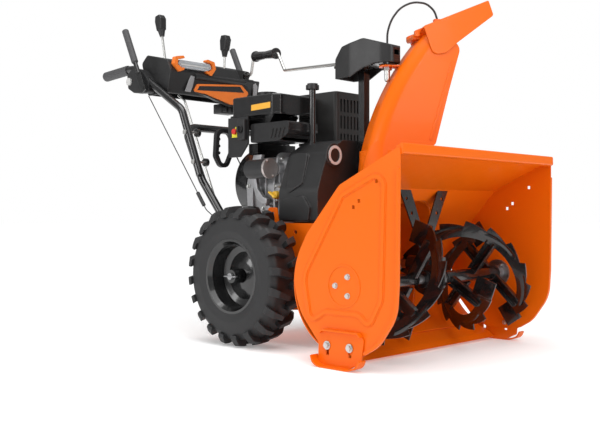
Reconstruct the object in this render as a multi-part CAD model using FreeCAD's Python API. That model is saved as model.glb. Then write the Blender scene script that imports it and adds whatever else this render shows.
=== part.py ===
"""Two-stage snowblower, modelled as separate pieces in millimetres.

+X points forward, +Y to the operator's left and +Z up. Pieces are drawn about the wheel axle,
with Z = 0 on the ground, and save() moves them so that the frame's origin is under the middle
of the machine's length.
"""
import FreeCAD, Part
import math
import os

V = FreeCAD.Vector
X, Y, Z = V(1, 0, 0), V(0, 1, 0), V(0, 0, 1)

# ---- driving dimensions ----
ORIGIN_SHIFT = 71.465         # from the axle to the middle of the machine's length
CLEARING_WIDTH = 711.0      # between the side plates, the machine's 28 inch size
SHEET = 3.0                 # housing and frame sheet
RUNNING = 0.05              # radial clearance of a shaft in its hole

TYRE_R = 203.0              # a 16 inch tyre
TYRE_INNER_Y = 210.0
TYRE_WIDTH = 120.0

AUGER_AXIS = V(466, 0, 204)
AUGER_R = 160.0
WRAP_R = 175.0
HALF = CLEARING_WIDTH / 2

IMPELLER_Z = 242.0          # the worm runs above the auger shaft
DRUM_R = 180.0
DRUM_BACK = 215.0
IMPELLER_R = 172.0

CHUTE_X = 318.0
CHUTE_TURN = 52.0           # at rest the chute points this far to the left
CHUTE_HALF = 78.0
CHUTE_SHEET = 2.5

CRANK_Z = 482.0             # engine crankshaft
HANDLE_Y = 218.0            # the handle tubes' middle lines
BOW_Y = 190.0               # the handle bow's legs
TUBE_R = 13.0

WORM_STARTS = 2
WHEEL_TEETH = 20
WHEEL_R = 26.0
HEX_TEETH, AXLE_TEETH, TRACTION_MODULE = 20, 84, 2.0
PINION_TEETH, CROWN_TEETH = 12, 36


# ---- shape helpers ----
def rounded_wire(corners, closed=True):
    """Straight runs joined by tangent arcs; each corner is (point, radius)."""
    count = len(corners)
    stops = []
    for i, (point, radius) in enumerate(corners):
        if radius == 0 or (not closed and i in (0, count - 1)):
            stops.append((point, None, point))
            continue
        back = (corners[i - 1][0] - point).normalize()
        ahead = (corners[(i + 1) % count][0] - point).normalize()
        half_turn = back.getAngle(ahead) / 2
        centre = point + (back + ahead).normalize() * (radius / math.sin(half_turn))
        reach = radius / math.tan(half_turn)
        middle = centre + (point - centre).normalize() * radius
        stops.append((point + back * reach, middle, point + ahead * reach))
    edges = []
    for i, (start, middle, end) in enumerate(stops):
        if middle is not None:
            edges.append(Part.Arc(start, middle, end).toShape())
        if closed or i + 1 < count:
            following = stops[(i + 1) % count][0]
            if end.distanceToPoint(following) > 1e-4:
                edges.append(Part.makeLine(end, following))
    return Part.Wire(edges)


def slab(plane, corners, start, end):
    """An outline in a plane (xy, xz or yz), each corner (a, b) or (a, b, radius), made thick."""
    place = {"xy": lambda a, b: V(a, b, start), "xz": lambda a, b: V(a, start, b),
             "yz": lambda a, b: V(start, a, b)}[plane]
    along = {"xy": Z, "xz": Y, "yz": X}[plane]
    points = [(place(c[0], c[1]), c[2] if len(c) > 2 else 0) for c in corners]
    return Part.Face(rounded_wire(points)).extrude(along * (end - start))


def box(x0, x1, y0, y1, z0, z1):
    """A plain block between limits."""
    return Part.makeBox(x1 - x0, y1 - y0, z1 - z0, V(x0, y0, z0))


def soft_box(x0, x1, y0, y1, z0, z1, radius):
    """A box with all its edges rounded."""
    solid = box(x0, x1, y0, y1, z0, z1)
    return solid.makeFillet(radius, solid.Edges)


def rod(start, end, radius):
    """A round bar between two points."""
    return Part.makeCylinder(radius, (end - start).Length, start, end - start)


def ring(start, end, outer, inner):
    """A round bar between two points with a bore through it."""
    return rod(start, end, outer).cut(rod(start, end, inner))


def hexagon(start, end, across):
    """A hexagonal bar or nut between two points."""
    direction = (end - start).normalize()
    side = direction.cross(Z if abs(direction.z) < 0.9 else X).normalize()
    corners = []
    for k in range(7):
        spin = FreeCAD.Rotation(direction, 60 * k)
        corners.append(start + spin.multVec(side) * (across / math.sqrt(3)))
    return Part.Face(Part.makePolygon(corners)).extrude(end - start)


def swept(corners, radius):
    """A round bar along an open route; each corner is (point, bend radius)."""
    route = rounded_wire(corners, closed=False)
    first = route.OrderedEdges[0]
    start = corners[0][0]
    ahead = (corners[1][0] - start).normalize()
    circle = Part.Wire(Part.makeCircle(radius, start, ahead))
    return Part.Wire(route.OrderedEdges).makePipeShell([circle], True, False)


def cable(points, radius):
    """A round cable whose arcs are as large as its straight runs allow."""
    corners = [(points[0], 0)]
    for before, here, after in zip(points, points[1:], points[2:]):
        shorter = min((before - here).Length, (after - here).Length)
        turn = (here - before).getAngle(after - here)
        corners.append((here, 0.45 * shorter / math.tan(turn / 2)))
    corners.append((points[-1], 0))
    return swept(corners, radius)


def mirrored(shape):
    """The same piece on the machine's other side."""
    return shape.mirror(V(0, 0, 0), Y)


def both_sides(shape):
    """Two separate solids, the right one and its mirror image."""
    return Part.makeCompound([shape, mirrored(shape)])


def fuse(*shapes):
    """Joins shapes into one."""
    return shapes[0].multiFuse(list(shapes[1:])).removeSplitter()


def cut(shape, *tools):
    """Takes tools away from a shape."""
    for tool in tools:
        shape = shape.cut(tool)
    return shape


def turned(shape, centre, axis, degrees):
    """A copy turned about an axis."""
    copy = shape.copy()
    copy.rotate(centre, axis, degrees)
    return copy


def shifted(shape, offset):
    """A moved copy."""
    copy = shape.copy()
    copy.translate(offset)
    return copy


def bolt(head, direction, shank_r, shank_length, across, washer_r=0.0):
    """A hex head outside a face at head, a washer under it, and a shank along direction."""
    solids = [rod(head, head + direction * shank_length, shank_r),
              hexagon(head - direction * across * 0.55, head - direction * 1.5, across),
              rod(head - direction * 1.5, head, washer_r or across * 0.62)]
    return fuse(*solids)


def helical_band(lead, start_deg, end_deg, inner, outer_at, thickness, step_deg=6.0):
    """A closed band that winds about +X; outer_at(degrees) gives its outer radius."""
    count = int(round((end_deg - start_deg) / step_deg))
    rows = []
    for i in range(count + 1):
        degrees = start_deg + i * step_deg
        angle = math.radians(degrees)
        along = lead * degrees / 360
        row = []
        for offset, radius in ((-thickness / 2, inner), (-thickness / 2, outer_at(degrees)),
                               (thickness / 2, outer_at(degrees)), (thickness / 2, inner)):
            row.append(V(along + offset, radius * math.cos(angle), radius * math.sin(angle)))
        rows.append(row)
    faces = []
    for first, second in zip(rows, rows[1:]):
        for k in range(4):
            a, b, c, d = first[k], first[(k + 1) % 4], second[(k + 1) % 4], second[k]
            for triangle in ((a, b, c), (a, c, d)):
                faces.append(Part.Face(Part.makePolygon(list(triangle) + [triangle[0]])))
    for row in (rows[0], rows[-1]):
        for triangle in ((row[0], row[1], row[2]), (row[0], row[2], row[3])):
            faces.append(Part.Face(Part.makePolygon(list(triangle) + [triangle[0]])))
    solid = Part.Solid(Part.Shell(faces))
    if solid.Volume < 0:
        solid.reverse()
    return solid


def spur_teeth(centre, start_y, end_y, teeth, module, thickness, twist_deg=0.0):
    """A toothed wheel about Y; a tooth points up at rest, and twist turns the far face."""
    pitch_r = teeth * module / 2
    root, tip = pitch_r - 1.1 * module, pitch_r + 0.8 * module
    wires = []
    for y, turn in ((start_y, -twist_deg / 2), (end_y, twist_deg / 2)):
        corners = []
        for k in range(teeth):
            middle = math.radians(90 - turn - 360.0 * k / teeth)
            for radius, half in ((root, 0.62), (tip, 0.32), (tip, -0.32), (root, -0.62)):
                angle = middle + half * thickness / radius
                corners.append(V(centre.x + radius * math.cos(angle), y,
                                 centre.z + radius * math.sin(angle)))
        wires.append(Part.makePolygon(corners + [corners[0]]))
    return Part.makeLoft(wires, True, True)


def v_pulley(x_middle, centre_z, radius, width, bore_r):
    """A single-groove pulley about X."""
    side, floor = width / 2, radius - 12
    corners = [(x_middle - side, bore_r), (x_middle - side, radius), (x_middle - side + 3, radius),
               (x_middle - 3, floor), (x_middle + 3, floor), (x_middle + side - 3, radius),
               (x_middle + side, radius), (x_middle + side, bore_r)]
    points = [V(x, 0, centre_z + r) for x, r in corners]
    profile = Part.Face(Part.makePolygon(points + [points[0]]))
    return profile.revolve(V(0, 0, centre_z), X, 360)


# ---- auger housing ----
PLATE_OUTLINE = [(641, 542, 6), (451, 454, 30), (341, 333, 60), (298, 262, 150), (296, 190, 160),
                 (318, 128, 120), (384, 54, 12), (430, 36, 20), (526, 36, 20), (580, 66, 90),
                 (633, 140, 110), (638, 217, 60), (641, 498, 4)]
RIB_OUTLINE = [(594, 487, 26), (461, 428, 24), (330, 222, 60), (353, 106, 18), (406, 137, 24),
               (517, 137, 24), (546, 108, 16), (585, 176, 40)]
SHOE_BOLTS = [(416, 54), (490, 54)]
BEARING_BOLTS = [(439, 204), (479.5, 227.4), (479.5, 180.6)]
ROOF_TOP = V(641, 0, 542)
KNEE = V(451, 0, 454)


def wrap_profile(offset):
    """Points of the wrapped sheet's outer line, moved inwards by offset, and its arc's middle."""
    radius = WRAP_R - offset
    roof = (ROOF_TOP - KNEE).normalize()
    inward = V(roof.z, 0, -roof.x)
    front, knee = ROOF_TOP + inward * offset, KNEE + inward * offset
    reach = knee - AUGER_AXIS
    tangent = math.atan2(reach.z, reach.x) + math.acos(radius / reach.Length)
    low = math.radians(246)

    def on_arc(angle):
        return AUGER_AXIS + V(radius * math.cos(angle), 0, radius * math.sin(angle))

    return front, knee, on_arc(tangent), on_arc((tangent + low) / 2), on_arc(low)


def auger_housing():
    """The sheet that wraps over and behind the auger, with a rolled hem along its front edge."""
    y = V(0, -HALF, 0)
    outer, inner = ([p + y for p in wrap_profile(d)] for d in (0, SHEET))
    edges = []
    for line in (outer, inner):
        edges.append(Part.makeLine(line[0], line[1]))
        edges.append(Part.makeLine(line[1], line[2]))
        edges.append(Part.Arc(line[2], line[3], line[4]).toShape())
    edges.append(Part.makeLine(outer[0], inner[0]))
    edges.append(Part.makeLine(outer[4], inner[4]))
    sheet = Part.Face(Part.Wire(Part.__sortEdges__(edges))).extrude(Y * CLEARING_WIDTH)
    hem = slab("xz", [(648, 552, 5), (626, 541, 2), (630, 521, 3), (649, 524, 5)], -HALF, HALF)
    opening = rod(V(DRUM_BACK, 0, IMPELLER_Z), V(455, 0, IMPELLER_Z), DRUM_R)
    return cut(fuse(sheet, hem), opening, drum_blank(0), housing_bolts())


def side_plate():
    """The right side plate: pressed rib and hub ring on its outer face, square and bolt holes."""
    outer = -HALF - SHEET
    plate = slab("xz", PLATE_OUTLINE, outer, -HALF)
    for ridge in (0, 1):
        line = rounded_wire([(V(c[0], outer - 1.6 * ridge, c[1]), c[2]) for c in RIB_OUTLINE])
        wide, narrow = line.makeOffset2D(8 - 3 * ridge), line.makeOffset2D(3 * ridge - 8)
        band = Part.Face(wide).cut(Part.Face(narrow))
        plate = plate.fuse(band.extrude(V(0, -1.6, 0)))
    hub = V(AUGER_AXIS.x, outer, AUGER_AXIS.z)
    plate = plate.fuse(ring(hub, hub - Y * 1.6, 54, 49))
    flange = slab("xz", [(641, 490, 4), (638, 217, 60), (633, 140, 110), (580, 66, 90),
                         (535, 40, 4), (532, 47, 0), (574, 73, 84), (626, 143, 104),
                         (631, 218, 54), (634, 490, 2)], outer - 6, outer)
    plate = plate.fuse(flange)
    for x, z in ((570, 461), (515, 414), (497, 399)):
        plate = plate.cut(box(x - 4.5, x + 4.5, outer - 9, -HALF + 1, z - 4.5, z + 4.5))
    return cut(plate, housing_bolts()).removeSplitter()


def housing_bolts():
    """Bolts of the skid shoes and of the auger bearings, mirrored to both sides."""
    solids = []
    for x, z in SHOE_BOLTS:
        solids.append(bolt(V(x, -HALF - 9, z), Y, 4, 16, 13, 11))
        solids.append(hexagon(V(x, -HALF + 1, z), V(x, -HALF + 6, z), 13))
    for x, z in BEARING_BOLTS:
        solids.append(bolt(V(x, -HALF - SHEET, z), Y, 4, 16, 11, 7.5))
    shoe = [fuse(solids[0], solids[1]), fuse(solids[2], solids[3])]
    right = shoe + solids[4:]
    return Part.makeCompound(right + [mirrored(s) for s in right])


def drum_blank(wall):
    """The drum's round body, and the stub that the chute stands on, less a wall all round."""
    front = 470 if wall else 462
    body = rod(V(DRUM_BACK + wall, 0, IMPELLER_Z), V(front, 0, IMPELLER_Z), DRUM_R - wall)
    neck = rod(V(CHUTE_X, 0, IMPELLER_Z), V(CHUTE_X, 0, 431 + wall), 77 - wall)
    return body.fuse(neck)


def impeller_drum():
    """Drum behind the housing, with its outlet neck and the ring that the chute turns on."""
    roof_side = slab("xz", [(200, 60), (200, 600), (470, 600), (470, 463.1), (451, 454),
                            (333.6, 318.4), (291, 204), (333, 90), (380, 60)], -200, 200)
    shell = drum_blank(0).common(roof_side).cut(drum_blank(SHEET))
    flange = ring(V(CHUTE_X, 0, 428), V(CHUTE_X, 0, 431), 84, 74)
    shaft_hole = rod(V(200, 0, IMPELLER_Z), V(230, 0, IMPELLER_Z), 30)
    return cut(fuse(shell, flange), shaft_hole, wrap_envelope())


def wrap_envelope():
    """The space inside and in the sheet of the auger housing, which the drum stops against."""
    front, knee, tangent, middle, low = wrap_profile(-0.05)
    arc = Part.Arc(tangent, middle, low).toShape()
    edges = [Part.makeLine(front, knee), Part.makeLine(knee, tangent), arc,
             Part.makeLine(low, V(641, 0, 20)), Part.makeLine(V(641, 0, 20), front)]
    face = Part.Face(Part.Wire(Part.__sortEdges__(edges)))
    return shifted(face.extrude(Y * 800), V(0, -400, 0))


def scraper_blade():
    """The wearing bar under the housing's rear lower edge."""
    bar = slab("xz", [(384, 38), (388, 44.5), (438, 20), (455, 8), (448, 5), (430, 12.5)],
               -HALF + 1, HALF - 1)
    return cut(bar, AUGER_WRAP_TOOL)


AUGER_WRAP_TOOL = rod(V(466, -400, 204), V(466, 400, 204), WRAP_R)


def skid_shoes():
    """Pressed steel shoes with turned-up toes that carry the housing on the ground."""
    outer = -HALF - SHEET - 0.5
    web = slab("xz", [(387, 77, 6), (399, 90, 6), (523, 90, 6), (534, 77, 6), (526, 20, 4),
                      (490, 3, 10), (400, 3, 10), (384, 12, 4)], outer - 4, outer)
    sole = slab("xz", [(376, 27, 0), (380, 10, 24), (400, 0, 40), (500, 0, 40), (530, 10, 24),
                       (538, 27, 0), (534, 29, 0), (527, 14, 20), (499, 4, 36), (401, 4, 36),
                       (383, 14, 20), (380, 29, 0)], outer - 26, outer)
    hood = slab("xz", [(392, 84), (402, 94, 6), (520, 94, 6), (530, 84), (525, 84),
                       (518, 90, 4), (404, 90, 4), (397, 84)], outer - 14, outer)
    shoe = fuse(web, sole, hood)
    for x, z in SHOE_BOLTS:
        shoe = shoe.cut(box(x - 5, x + 5, outer - 5, outer + 1, 30, z + 5))
    return both_sides(cut(shoe, housing_bolts()))


def shaft_bearings():
    """Flanged bearings of the auger shaft at both sides, and of the impeller shaft."""
    y = -HALF
    flange = rod(V(466, y, 204), V(466, y + 5, 204), 40)
    boss = rod(V(466, y + 5, 204), V(466, y + 24, 204), 22)
    hole = rod(V(466, y - 1, 204), V(466, y + 30, 204), 12.5 + RUNNING)
    side = cut(fuse(flange, boss), hole, housing_bolts())
    back = fuse(rod(V(204, 0, IMPELLER_Z), V(215, 0, IMPELLER_Z), 42),
                rod(V(215, 0, IMPELLER_Z), V(224, 0, IMPELLER_Z), 29.5))
    back = back.cut(rod(V(190, 0, IMPELLER_Z), V(240, 0, IMPELLER_Z), 12.5 + RUNNING))
    return Part.makeCompound([side, mirrored(side), back])


# ---- augers ----
def auger_shaft():
    """Shaft across the housing, with the worm wheel keyed to its middle."""
    shaft = rod(V(466, -HALF + 1, 204), V(466, HALF - 1, 204), 12.5)
    return Part.makeCompound([shaft, worm_wheel()])


def augers():
    """Left and right augers: hub tube, channel arms and two serrated ribbon flights each."""
    inner_y, outer_y = 78.0, 330.0
    span = 216.0                # degrees that each ribbon winds through
    lead = (outer_y - inner_y) * 360 / span

    def serrated(degrees):
        """The outer edge is cut into teeth that lean one way."""
        return AUGER_R - 17 * ((degrees % 24) / 24)

    flights = []
    for start in (20, 200):
        flight = helical_band(lead, 0, span, 112, serrated, 4, 4)
        flight = turned(flight, V(0, 0, 0), X, start)
        flights.append(flight)
        for along in (12, span / 2, span - 12):
            y = lead * along / 360
            arm = fuse(box(y - 3, y + 3, 16, 122, -15, 15), box(y - 14, y, 16, 122, -15, -11),
                       box(y - 14, y, 16, 122, 11, 15))
            flights.append(turned(arm, V(0, 0, 0), X, start + along))
        tail = box(-2, 2, 96, 158, -46, 8)
        tip = lead * span / 360
        flights.append(turned(tail, V(0, 0, 0), X, start))
        far_tail = tail.mirror(V(0, 0, 0), Z)
        flights.append(shifted(turned(far_tail, V(0, 0, 0), X, start + span), V(tip, 0, 0)))
    hub = ring(V(-10, 0, 0), V(outer_y - inner_y - 2, 0, 0), 18, 12.5 + RUNNING)
    auger = fuse(hub, *flights)
    auger = auger.cut(rod(V(-11, 0, 0), V(outer_y, 0, 0), 12.5 + RUNNING))
    auger.rotate(V(0, 0, 0), Z, 90)
    left = shifted(auger, V(466, inner_y, 204))
    return Part.makeCompound([left, turned(mirrored(left), AUGER_AXIS, Y, 90)])


def worm_wheel():
    """Bronze wheel on the auger shaft, its teeth set at the worm's lead angle."""
    lead = 2 * math.pi * WHEEL_R * WORM_STARTS / WHEEL_TEETH
    twist = math.degrees(16 * lead / (2 * math.pi * 12) / WHEEL_R)
    wheel = spur_teeth(AUGER_AXIS, -8, 8, WHEEL_TEETH, 2 * WHEEL_R / WHEEL_TEETH, 2.9, twist)
    wheel = turned(wheel, AUGER_AXIS, Y, 180 / WHEEL_TEETH)
    throat = rod(V(400, 0, IMPELLER_Z), V(530, 0, IMPELLER_Z), 11)
    return cut(wheel, rod(V(466, -9, 204), V(466, 9, 204), 12.5 + 0.02), throat)


def impeller_shaft():
    """Shaft from the rear pulley through the drum to the worm in the gearcase."""
    lead = 2 * math.pi * WHEEL_R * WORM_STARTS / WHEEL_TEETH
    z = V(0, 0, IMPELLER_Z)
    shaft = fuse(rod(V(132, 0, 0) + z, V(442, 0, 0) + z, 12.5),
                 rod(V(442, 0, 0) + z, V(500, 0, 0) + z, 9))
    turns = 48.0 * 360 / lead
    threads = []
    for start in range(WORM_STARTS):
        thread = helical_band(lead, -turns / 2, turns / 2, 8, lambda degrees: 13.6, 2.6, 12)
        threads.append(turned(thread, V(0, 0, 0), X, -90 + 360 * start / WORM_STARTS))
    threads = [shifted(t, V(466, 0, IMPELLER_Z)) for t in threads]
    return Part.makeCompound([fuse(shaft, *threads), impeller_pulley()])


def gearcase():
    """Cast case around the worm and wheel, carried on both shafts."""
    lower = rod(V(466, -24, 204), V(466, 24, 204), 42)
    upper = box(430, 508, -24, 24, 204, 264)
    upper = upper.makeFillet(8, [e for e in upper.Edges if abs(e.BoundBox.YLength) < 1])
    nose = rod(V(400, 0, IMPELLER_Z), V(440, 0, IMPELLER_Z), 24)
    hubs = rod(V(466, -38, 204), V(466, 38, 204), 24)
    rim = ring(V(466, -2.5, 204), V(466, 2.5, 204), 50, 41)
    hollow = fuse(rod(V(466, -12, 204), V(466, 12, 204), 31),
                  rod(V(440.5, 0, IMPELLER_Z), V(492, 0, IMPELLER_Z), 16))
    case = cut(fuse(lower, upper, nose, hubs, rim), hollow,
               rod(V(466, -60, 204), V(466, 60, 204), 12.5 + RUNNING),
               rod(V(390, 0, IMPELLER_Z), V(442, 0, IMPELLER_Z), 12.5 + RUNNING),
               rod(V(442, 0, IMPELLER_Z), V(500.2, 0, IMPELLER_Z), 9 + RUNNING))
    plug = hexagon(V(480, -24, 250), V(480, -30, 250), 13)
    return Part.makeCompound([fuse(case, plug), gearcase_brace()])


def gearcase_brace():
    """Two straps from the gearcase up to the housing's knee."""
    strap = slab("yz", [(-16, 264), (16, 264), (22, 290), (112, 450), (64, 450), (0, 318)],
                 446, 450)
    foot = box(446, 484, -18, 18, 264, 268)
    roof = cut(box(300, 600, -200, 200, 300, 600), wrap_inside())
    holes = [rod(V(440, y, z), V(460, y, z), 5) for y, z in ((34, 345), (58, 385), (82, 425))]
    holes += [mirrored(hole) for hole in holes]
    return cut(fuse(strap, mirrored(strap), foot), roof, *holes)


def wrap_inside():
    """The free space inside the housing's sheet."""
    front, knee, tangent, middle, low = wrap_profile(SHEET + 0.3)
    arc = Part.Arc(tangent, middle, low).toShape()
    edges = [Part.makeLine(front, knee), Part.makeLine(knee, tangent), arc,
             Part.makeLine(low, V(641, 0, 20)), Part.makeLine(V(641, 0, 20), front)]
    face = Part.Face(Part.Wire(Part.__sortEdges__(edges)))
    return shifted(face.extrude(Y * 700), V(0, -350, 0))


def impeller():
    """Three-bladed fan that throws the snow up the chute."""
    z = V(0, 0, IMPELLER_Z)
    hub = rod(V(232, 0, 0) + z, V(296, 0, 0) + z, 24)
    blades = []
    for k in range(3):
        blade = box(232, 290, -2.5, 2.5, 0, IMPELLER_R)
        lip = box(232, 290, -2.5, 16, IMPELLER_R - 5, IMPELLER_R)
        web = box(232, 236, -30, 2.5, 0, IMPELLER_R - 40)
        trim = ring(V(230, 0, 0), V(300, 0, 0), 300, IMPELLER_R)
        fan = cut(fuse(blade, lip, web), trim)
        for height in (70, 110, 140):
            fan = fan.cut(rod(V(262, -20, height), V(262, 20, height), 5))
        blades.append(shifted(turned(fan, V(0, 0, 0), X, 120 * k), z))
    return cut(fuse(hub, *blades), rod(V(200, 0, 0) + z, V(300, 0, 0) + z, 12.52))


def impeller_pulley():
    """Pulley on the back end of the impeller shaft."""
    return v_pulley(158, IMPELLER_Z, 105, 20, 12.52)


# ---- chute ----
def to_chute_angle(shape):
    """Puts a shape drawn about the chute's own axis where the chute stands."""
    return shifted(turned(shape, V(0, 0, 0), Z, CHUTE_TURN), V(CHUTE_X, 0, 0))


def chute_body(inset, front):
    """The chute's channel about its own axis, pointing along +X, with rounded rear corners."""
    start, end = V(-79 + inset, 0, 505), V(92 + inset, 0, 889)
    rear = Part.Arc(start, V(-17 + inset, 0, 716), end).toShape()
    crest = end + V(0.63, 0, 0.777) * 60
    foot = V(-79 + inset, 0, 440)
    far, low = V(front, 0, crest.z), V(front, 0, 440)
    lines = [Part.makeLine(end, crest), Part.makeLine(crest, far), Part.makeLine(far, low),
             Part.makeLine(low, foot), Part.makeLine(foot, start)]
    face = Part.Face(Part.Wire(Part.__sortEdges__([rear] + lines)))
    half = CHUTE_HALF - inset
    solid = shifted(face.extrude(Y * 2 * half), V(0, -half, 0))
    corners = [e for e in solid.Edges if e.Curve.TypeId == "Part::GeomCircle"]
    corners += [e for e in solid.Edges if abs(e.Length - 60) < 0.5 or abs(e.Length - 65) < 0.01]
    rounded = solid.makeFillet(40 - inset, corners)
    swing = rod(V(0, 0, 400), V(0, 0, 1100), 84 - inset)
    return rounded.common(swing.fuse(box(0, 500, -200, 200, 400, 1100)))


def chute():
    """Swivelling chute: round collar below, open channel above, a tab that its gear turns."""
    side = slab("xz", [(-120, 430), (-120, 900), (88, 893, 4), (196, 862, 26), (160, 733, 0),
                       (121, 580, 14), (108, 569, 6), (60, 560, 0), (78, 500, 0), (78, 430, 0)],
                -120, 120)
    outer = chute_body(0, 300).common(side)
    inner = chute_body(CHUTE_SHEET, 320)
    collar = rod(V(0, 0, 434), V(0, 0, 562), 80)
    bore = rod(V(0, 0, 400), V(0, 0, 508), 80 - CHUTE_SHEET)
    collar = collar.cut(rod(V(0, 0, 400), V(0, 0, 600), 80 - CHUTE_SHEET))
    low_front = box(0, 300, -200, 200, 400, 562).cut(rod(V(0, 0, 400), V(0, 0, 640), 80))
    channel = cut(outer, inner, low_front, bore)
    shell = fuse(channel, collar)
    foot = ring(V(0, 0, 431.5), V(0, 0, 435), 84, 80 - CHUTE_SHEET)
    tab = cut(box(0, 60, -22, 22, 805, 809), rod(V(0, 0, 800), V(0, 0, 815), 8))
    tab = fuse(tab, ring(V(0, 0, 805), V(0, 0, 809), 24, 8))
    body = fuse(shell, foot, cut(tab, inner))
    for y in (-CHUTE_HALF - 2, CHUTE_HALF):
        bead = slab("xz", [(166, 812), (172, 811), (108, 590), (102, 592)], y, y + 2)
        body = fuse(body, bead)
    hinge = box(68, 100, -34, 34, 882, 899).common(chute_body(-26, 300))
    hinge = cut(hinge, inner, rod(V(76, -50, 893), V(76, 50, 893), 4.05))
    return to_chute_angle(fuse(body, hinge))


def deflector():
    """Tilting cap that sets the throw, hinged at the chute's upper rear edge."""
    outline = [(84, 909, 5), (273, 987, 4), (288, 945, 8), (181, 864, 30), (150, 836, 20),
               (112, 830, 20), (93, 886, 6)]
    half = CHUTE_HALF + 3.5
    blank = slab("xz", outline, -half - 2, half + 2)
    core = slab("xz", [(40, 882), (76, 902.5), (86, 906.6), (300, 994.7), (330, 700), (40, 700)],
                -half, half)
    cap = blank.cut(core)
    ears = [slab("xz", [(69, 887, 5), (69, 903, 2), (90, 911.5), (92, 908), (84, 900),
                        (83, 887, 5)], side, side + 14) for side in (-50, 36)]
    anchor = box(138, 158, -8, 8, 920, 947)
    anchor = anchor.cut(slab("xz", [(40, 882), (86, 906.6), (300, 994.7), (330, 700), (40, 700)],
                             -half, half))
    pin = rod(V(76, -50, 893), V(76, 50, 893), 4)
    return to_chute_angle(fuse(cap, anchor, pin, *ears))


def chute_post():
    """Steel column behind the chute, with the plate that carries the gear head."""
    column = box(209, 231, 0, 25, 424, 811)
    sleeve = box(206, 232.5, -3, 28, 422.2, 520)
    plate = slab("xy", [(200, -22, 8), (290, -34, 20), (342, -30, 24), (342, 30, 24),
                        (290, 34, 20), (200, 40, 8)], 811, 815)
    plate = plate.cut(rod(V(CHUTE_X, 0, 800), V(CHUTE_X, 0, 830), 8 + RUNNING))
    return fuse(column, sleeve, plate)


def gear_head_cover():
    """Plastic hood over the gears at the top of the post."""
    outline = [(155, 784, 0), (155, 842, 12), (182, 876, 14), (262, 892, 30), (352, 864, 12),
               (353, 817, 3), (300, 815.5, 6), (262, 806, 10), (214, 784, 0)]
    inner = [(158, 780), (158, 842), (184, 873), (262, 889), (349, 861.5), (349, 780)]
    plan = [(150, -42, 0), (215, -47, 60), (318, -37, 40), (354, -20, 20), (354, 20, 20),
            (318, 37, 40), (215, 47, 60), (150, 42, 0)]
    inner_plan = [(157, -39, 0), (215, -44, 57), (318, -34, 37), (350.5, -18, 17),
                  (350.5, 18, 17), (318, 34, 37), (215, 44, 57), (157, 39, 0)]
    hood = slab("xz", outline, -60, 60).common(slab("xy", plan, 700, 900))
    hollow = slab("xz", inner, -60, 60).common(slab("xy", inner_plan, 700, 900))
    hood = cut(hood, hollow, chute_post())
    skirt = slab("xy", plan, 815.5, 822).cut(slab("xy", inner_plan, 815, 823))
    skirt = skirt.common(box(150, 360, -60, 60, 800, 900))
    rod_way = rod(HEAD_BALL, crank_point(0.2), 12)
    cable_way = rod(V(CHUTE_X, 0, 850), V(CHUTE_X, 0, 900), 5)
    mouth = box(330, 360, -12, 12, 838, 852)
    return cut(fuse(hood, skirt), rod_way, cable_way, mouth)


CROWN_Z = 826.0              # pitch plane of the crown gear
HEAD_PITCH_R = 25.5          # radius on the crown gear where its pinion runs
PINION_R = HEAD_PITCH_R * PINION_TEETH / CROWN_TEETH
HEAD_BALL = V(196, 0, CROWN_Z + PINION_R)


def chute_gear():
    """Crown gear over the plate and the threaded pin that turns the chute."""
    base = CROWN_Z
    disc = rod(V(CHUTE_X, 0, 818), V(CHUTE_X, 0, base - 2), 29)
    teeth = []
    for k in range(CROWN_TEETH):
        tooth = slab("yz", [(-0.85, base - 3), (-0.5, base + 0.9), (0.5, base + 0.9),
                            (0.85, base - 3)], 20, 29)
        teeth.append(shifted(turned(tooth, V(0, 0, 0), Z, 180 + 360.0 * k / CROWN_TEETH),
                             V(CHUTE_X, 0, 0)))
    pin = rod(V(CHUTE_X, 0, 770), V(CHUTE_X, 0, base), 7.97)
    nut = hexagon(V(CHUTE_X, 0, 796), V(CHUTE_X, 0, 804.8), 24)
    tip = Part.makeSphere(7.9, V(CHUTE_X, 0, 770))
    return fuse(disc, pin, nut, tip, *teeth)


def crank_pinion():
    """Small pinion over the crown gear, with a socket for the crank rod's ball."""
    z = HEAD_BALL.z
    teeth = []
    for k in range(PINION_TEETH):
        tooth = slab("yz", [(-0.9, 4.5), (-0.5, PINION_R + 0.8), (0.5, PINION_R + 0.8),
                            (0.9, 4.5)], 289, 297)
        teeth.append(shifted(turned(tooth, V(0, 0, 0), X, 180 + 360.0 * (k + 0.5) / PINION_TEETH),
                             V(0, 0, z)))
    core = rod(V(196, 0, z), V(297, 0, z), 6)
    cup = rod(V(186, 0, z), V(212, 0, z), 12)
    hollow = Part.makeSphere(9.4, HEAD_BALL).fuse(Part.makeCone(14, 8, 12, V(183, 0, z), X))
    return cut(fuse(core, cup, *teeth), hollow)


def crank_ends():
    """Where the crank's axis leaves the gear head and where it reaches the dash."""
    return HEAD_BALL, V(-450, 150, 885)


def crank_point(share, lift=0.0):
    """A point along the crank's axis, raised square to it by lift."""
    start, end = crank_ends()
    along = (end - start).normalize()
    side = along.cross(Z).normalize()
    return start + (end - start) * share + side.cross(along) * lift


def crank_rod():
    """Bent zinc rod that turns the chute from the dash."""
    route = [(crank_point(0.0), 0), (crank_point(0.60), 12), (crank_point(0.675, 62), 12),
             (crank_point(0.925, 62), 12), (crank_point(0.945), 10), (crank_point(1.0), 0)]
    return fuse(swept(route, 5), Part.makeSphere(9, HEAD_BALL))


def crank_grip():
    """Waisted black grip that spins on the rod's throw."""
    start, end = crank_point(0.69, 62), crank_point(0.905, 62)
    along = (end - start).normalize()
    length = (end - start).Length
    body = Part.makeCone(17, 13, length / 2, start, along)
    body = body.fuse(Part.makeCone(13, 17, length / 2, start + along * (length / 2), along))
    collars = [rod(start, start + along * 6, 19), rod(end - along * 6, end, 19)]
    bore = rod(start - along * 5, end + along * 5, 5 + 0.08)
    return cut(fuse(body, *collars), bore)


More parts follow.
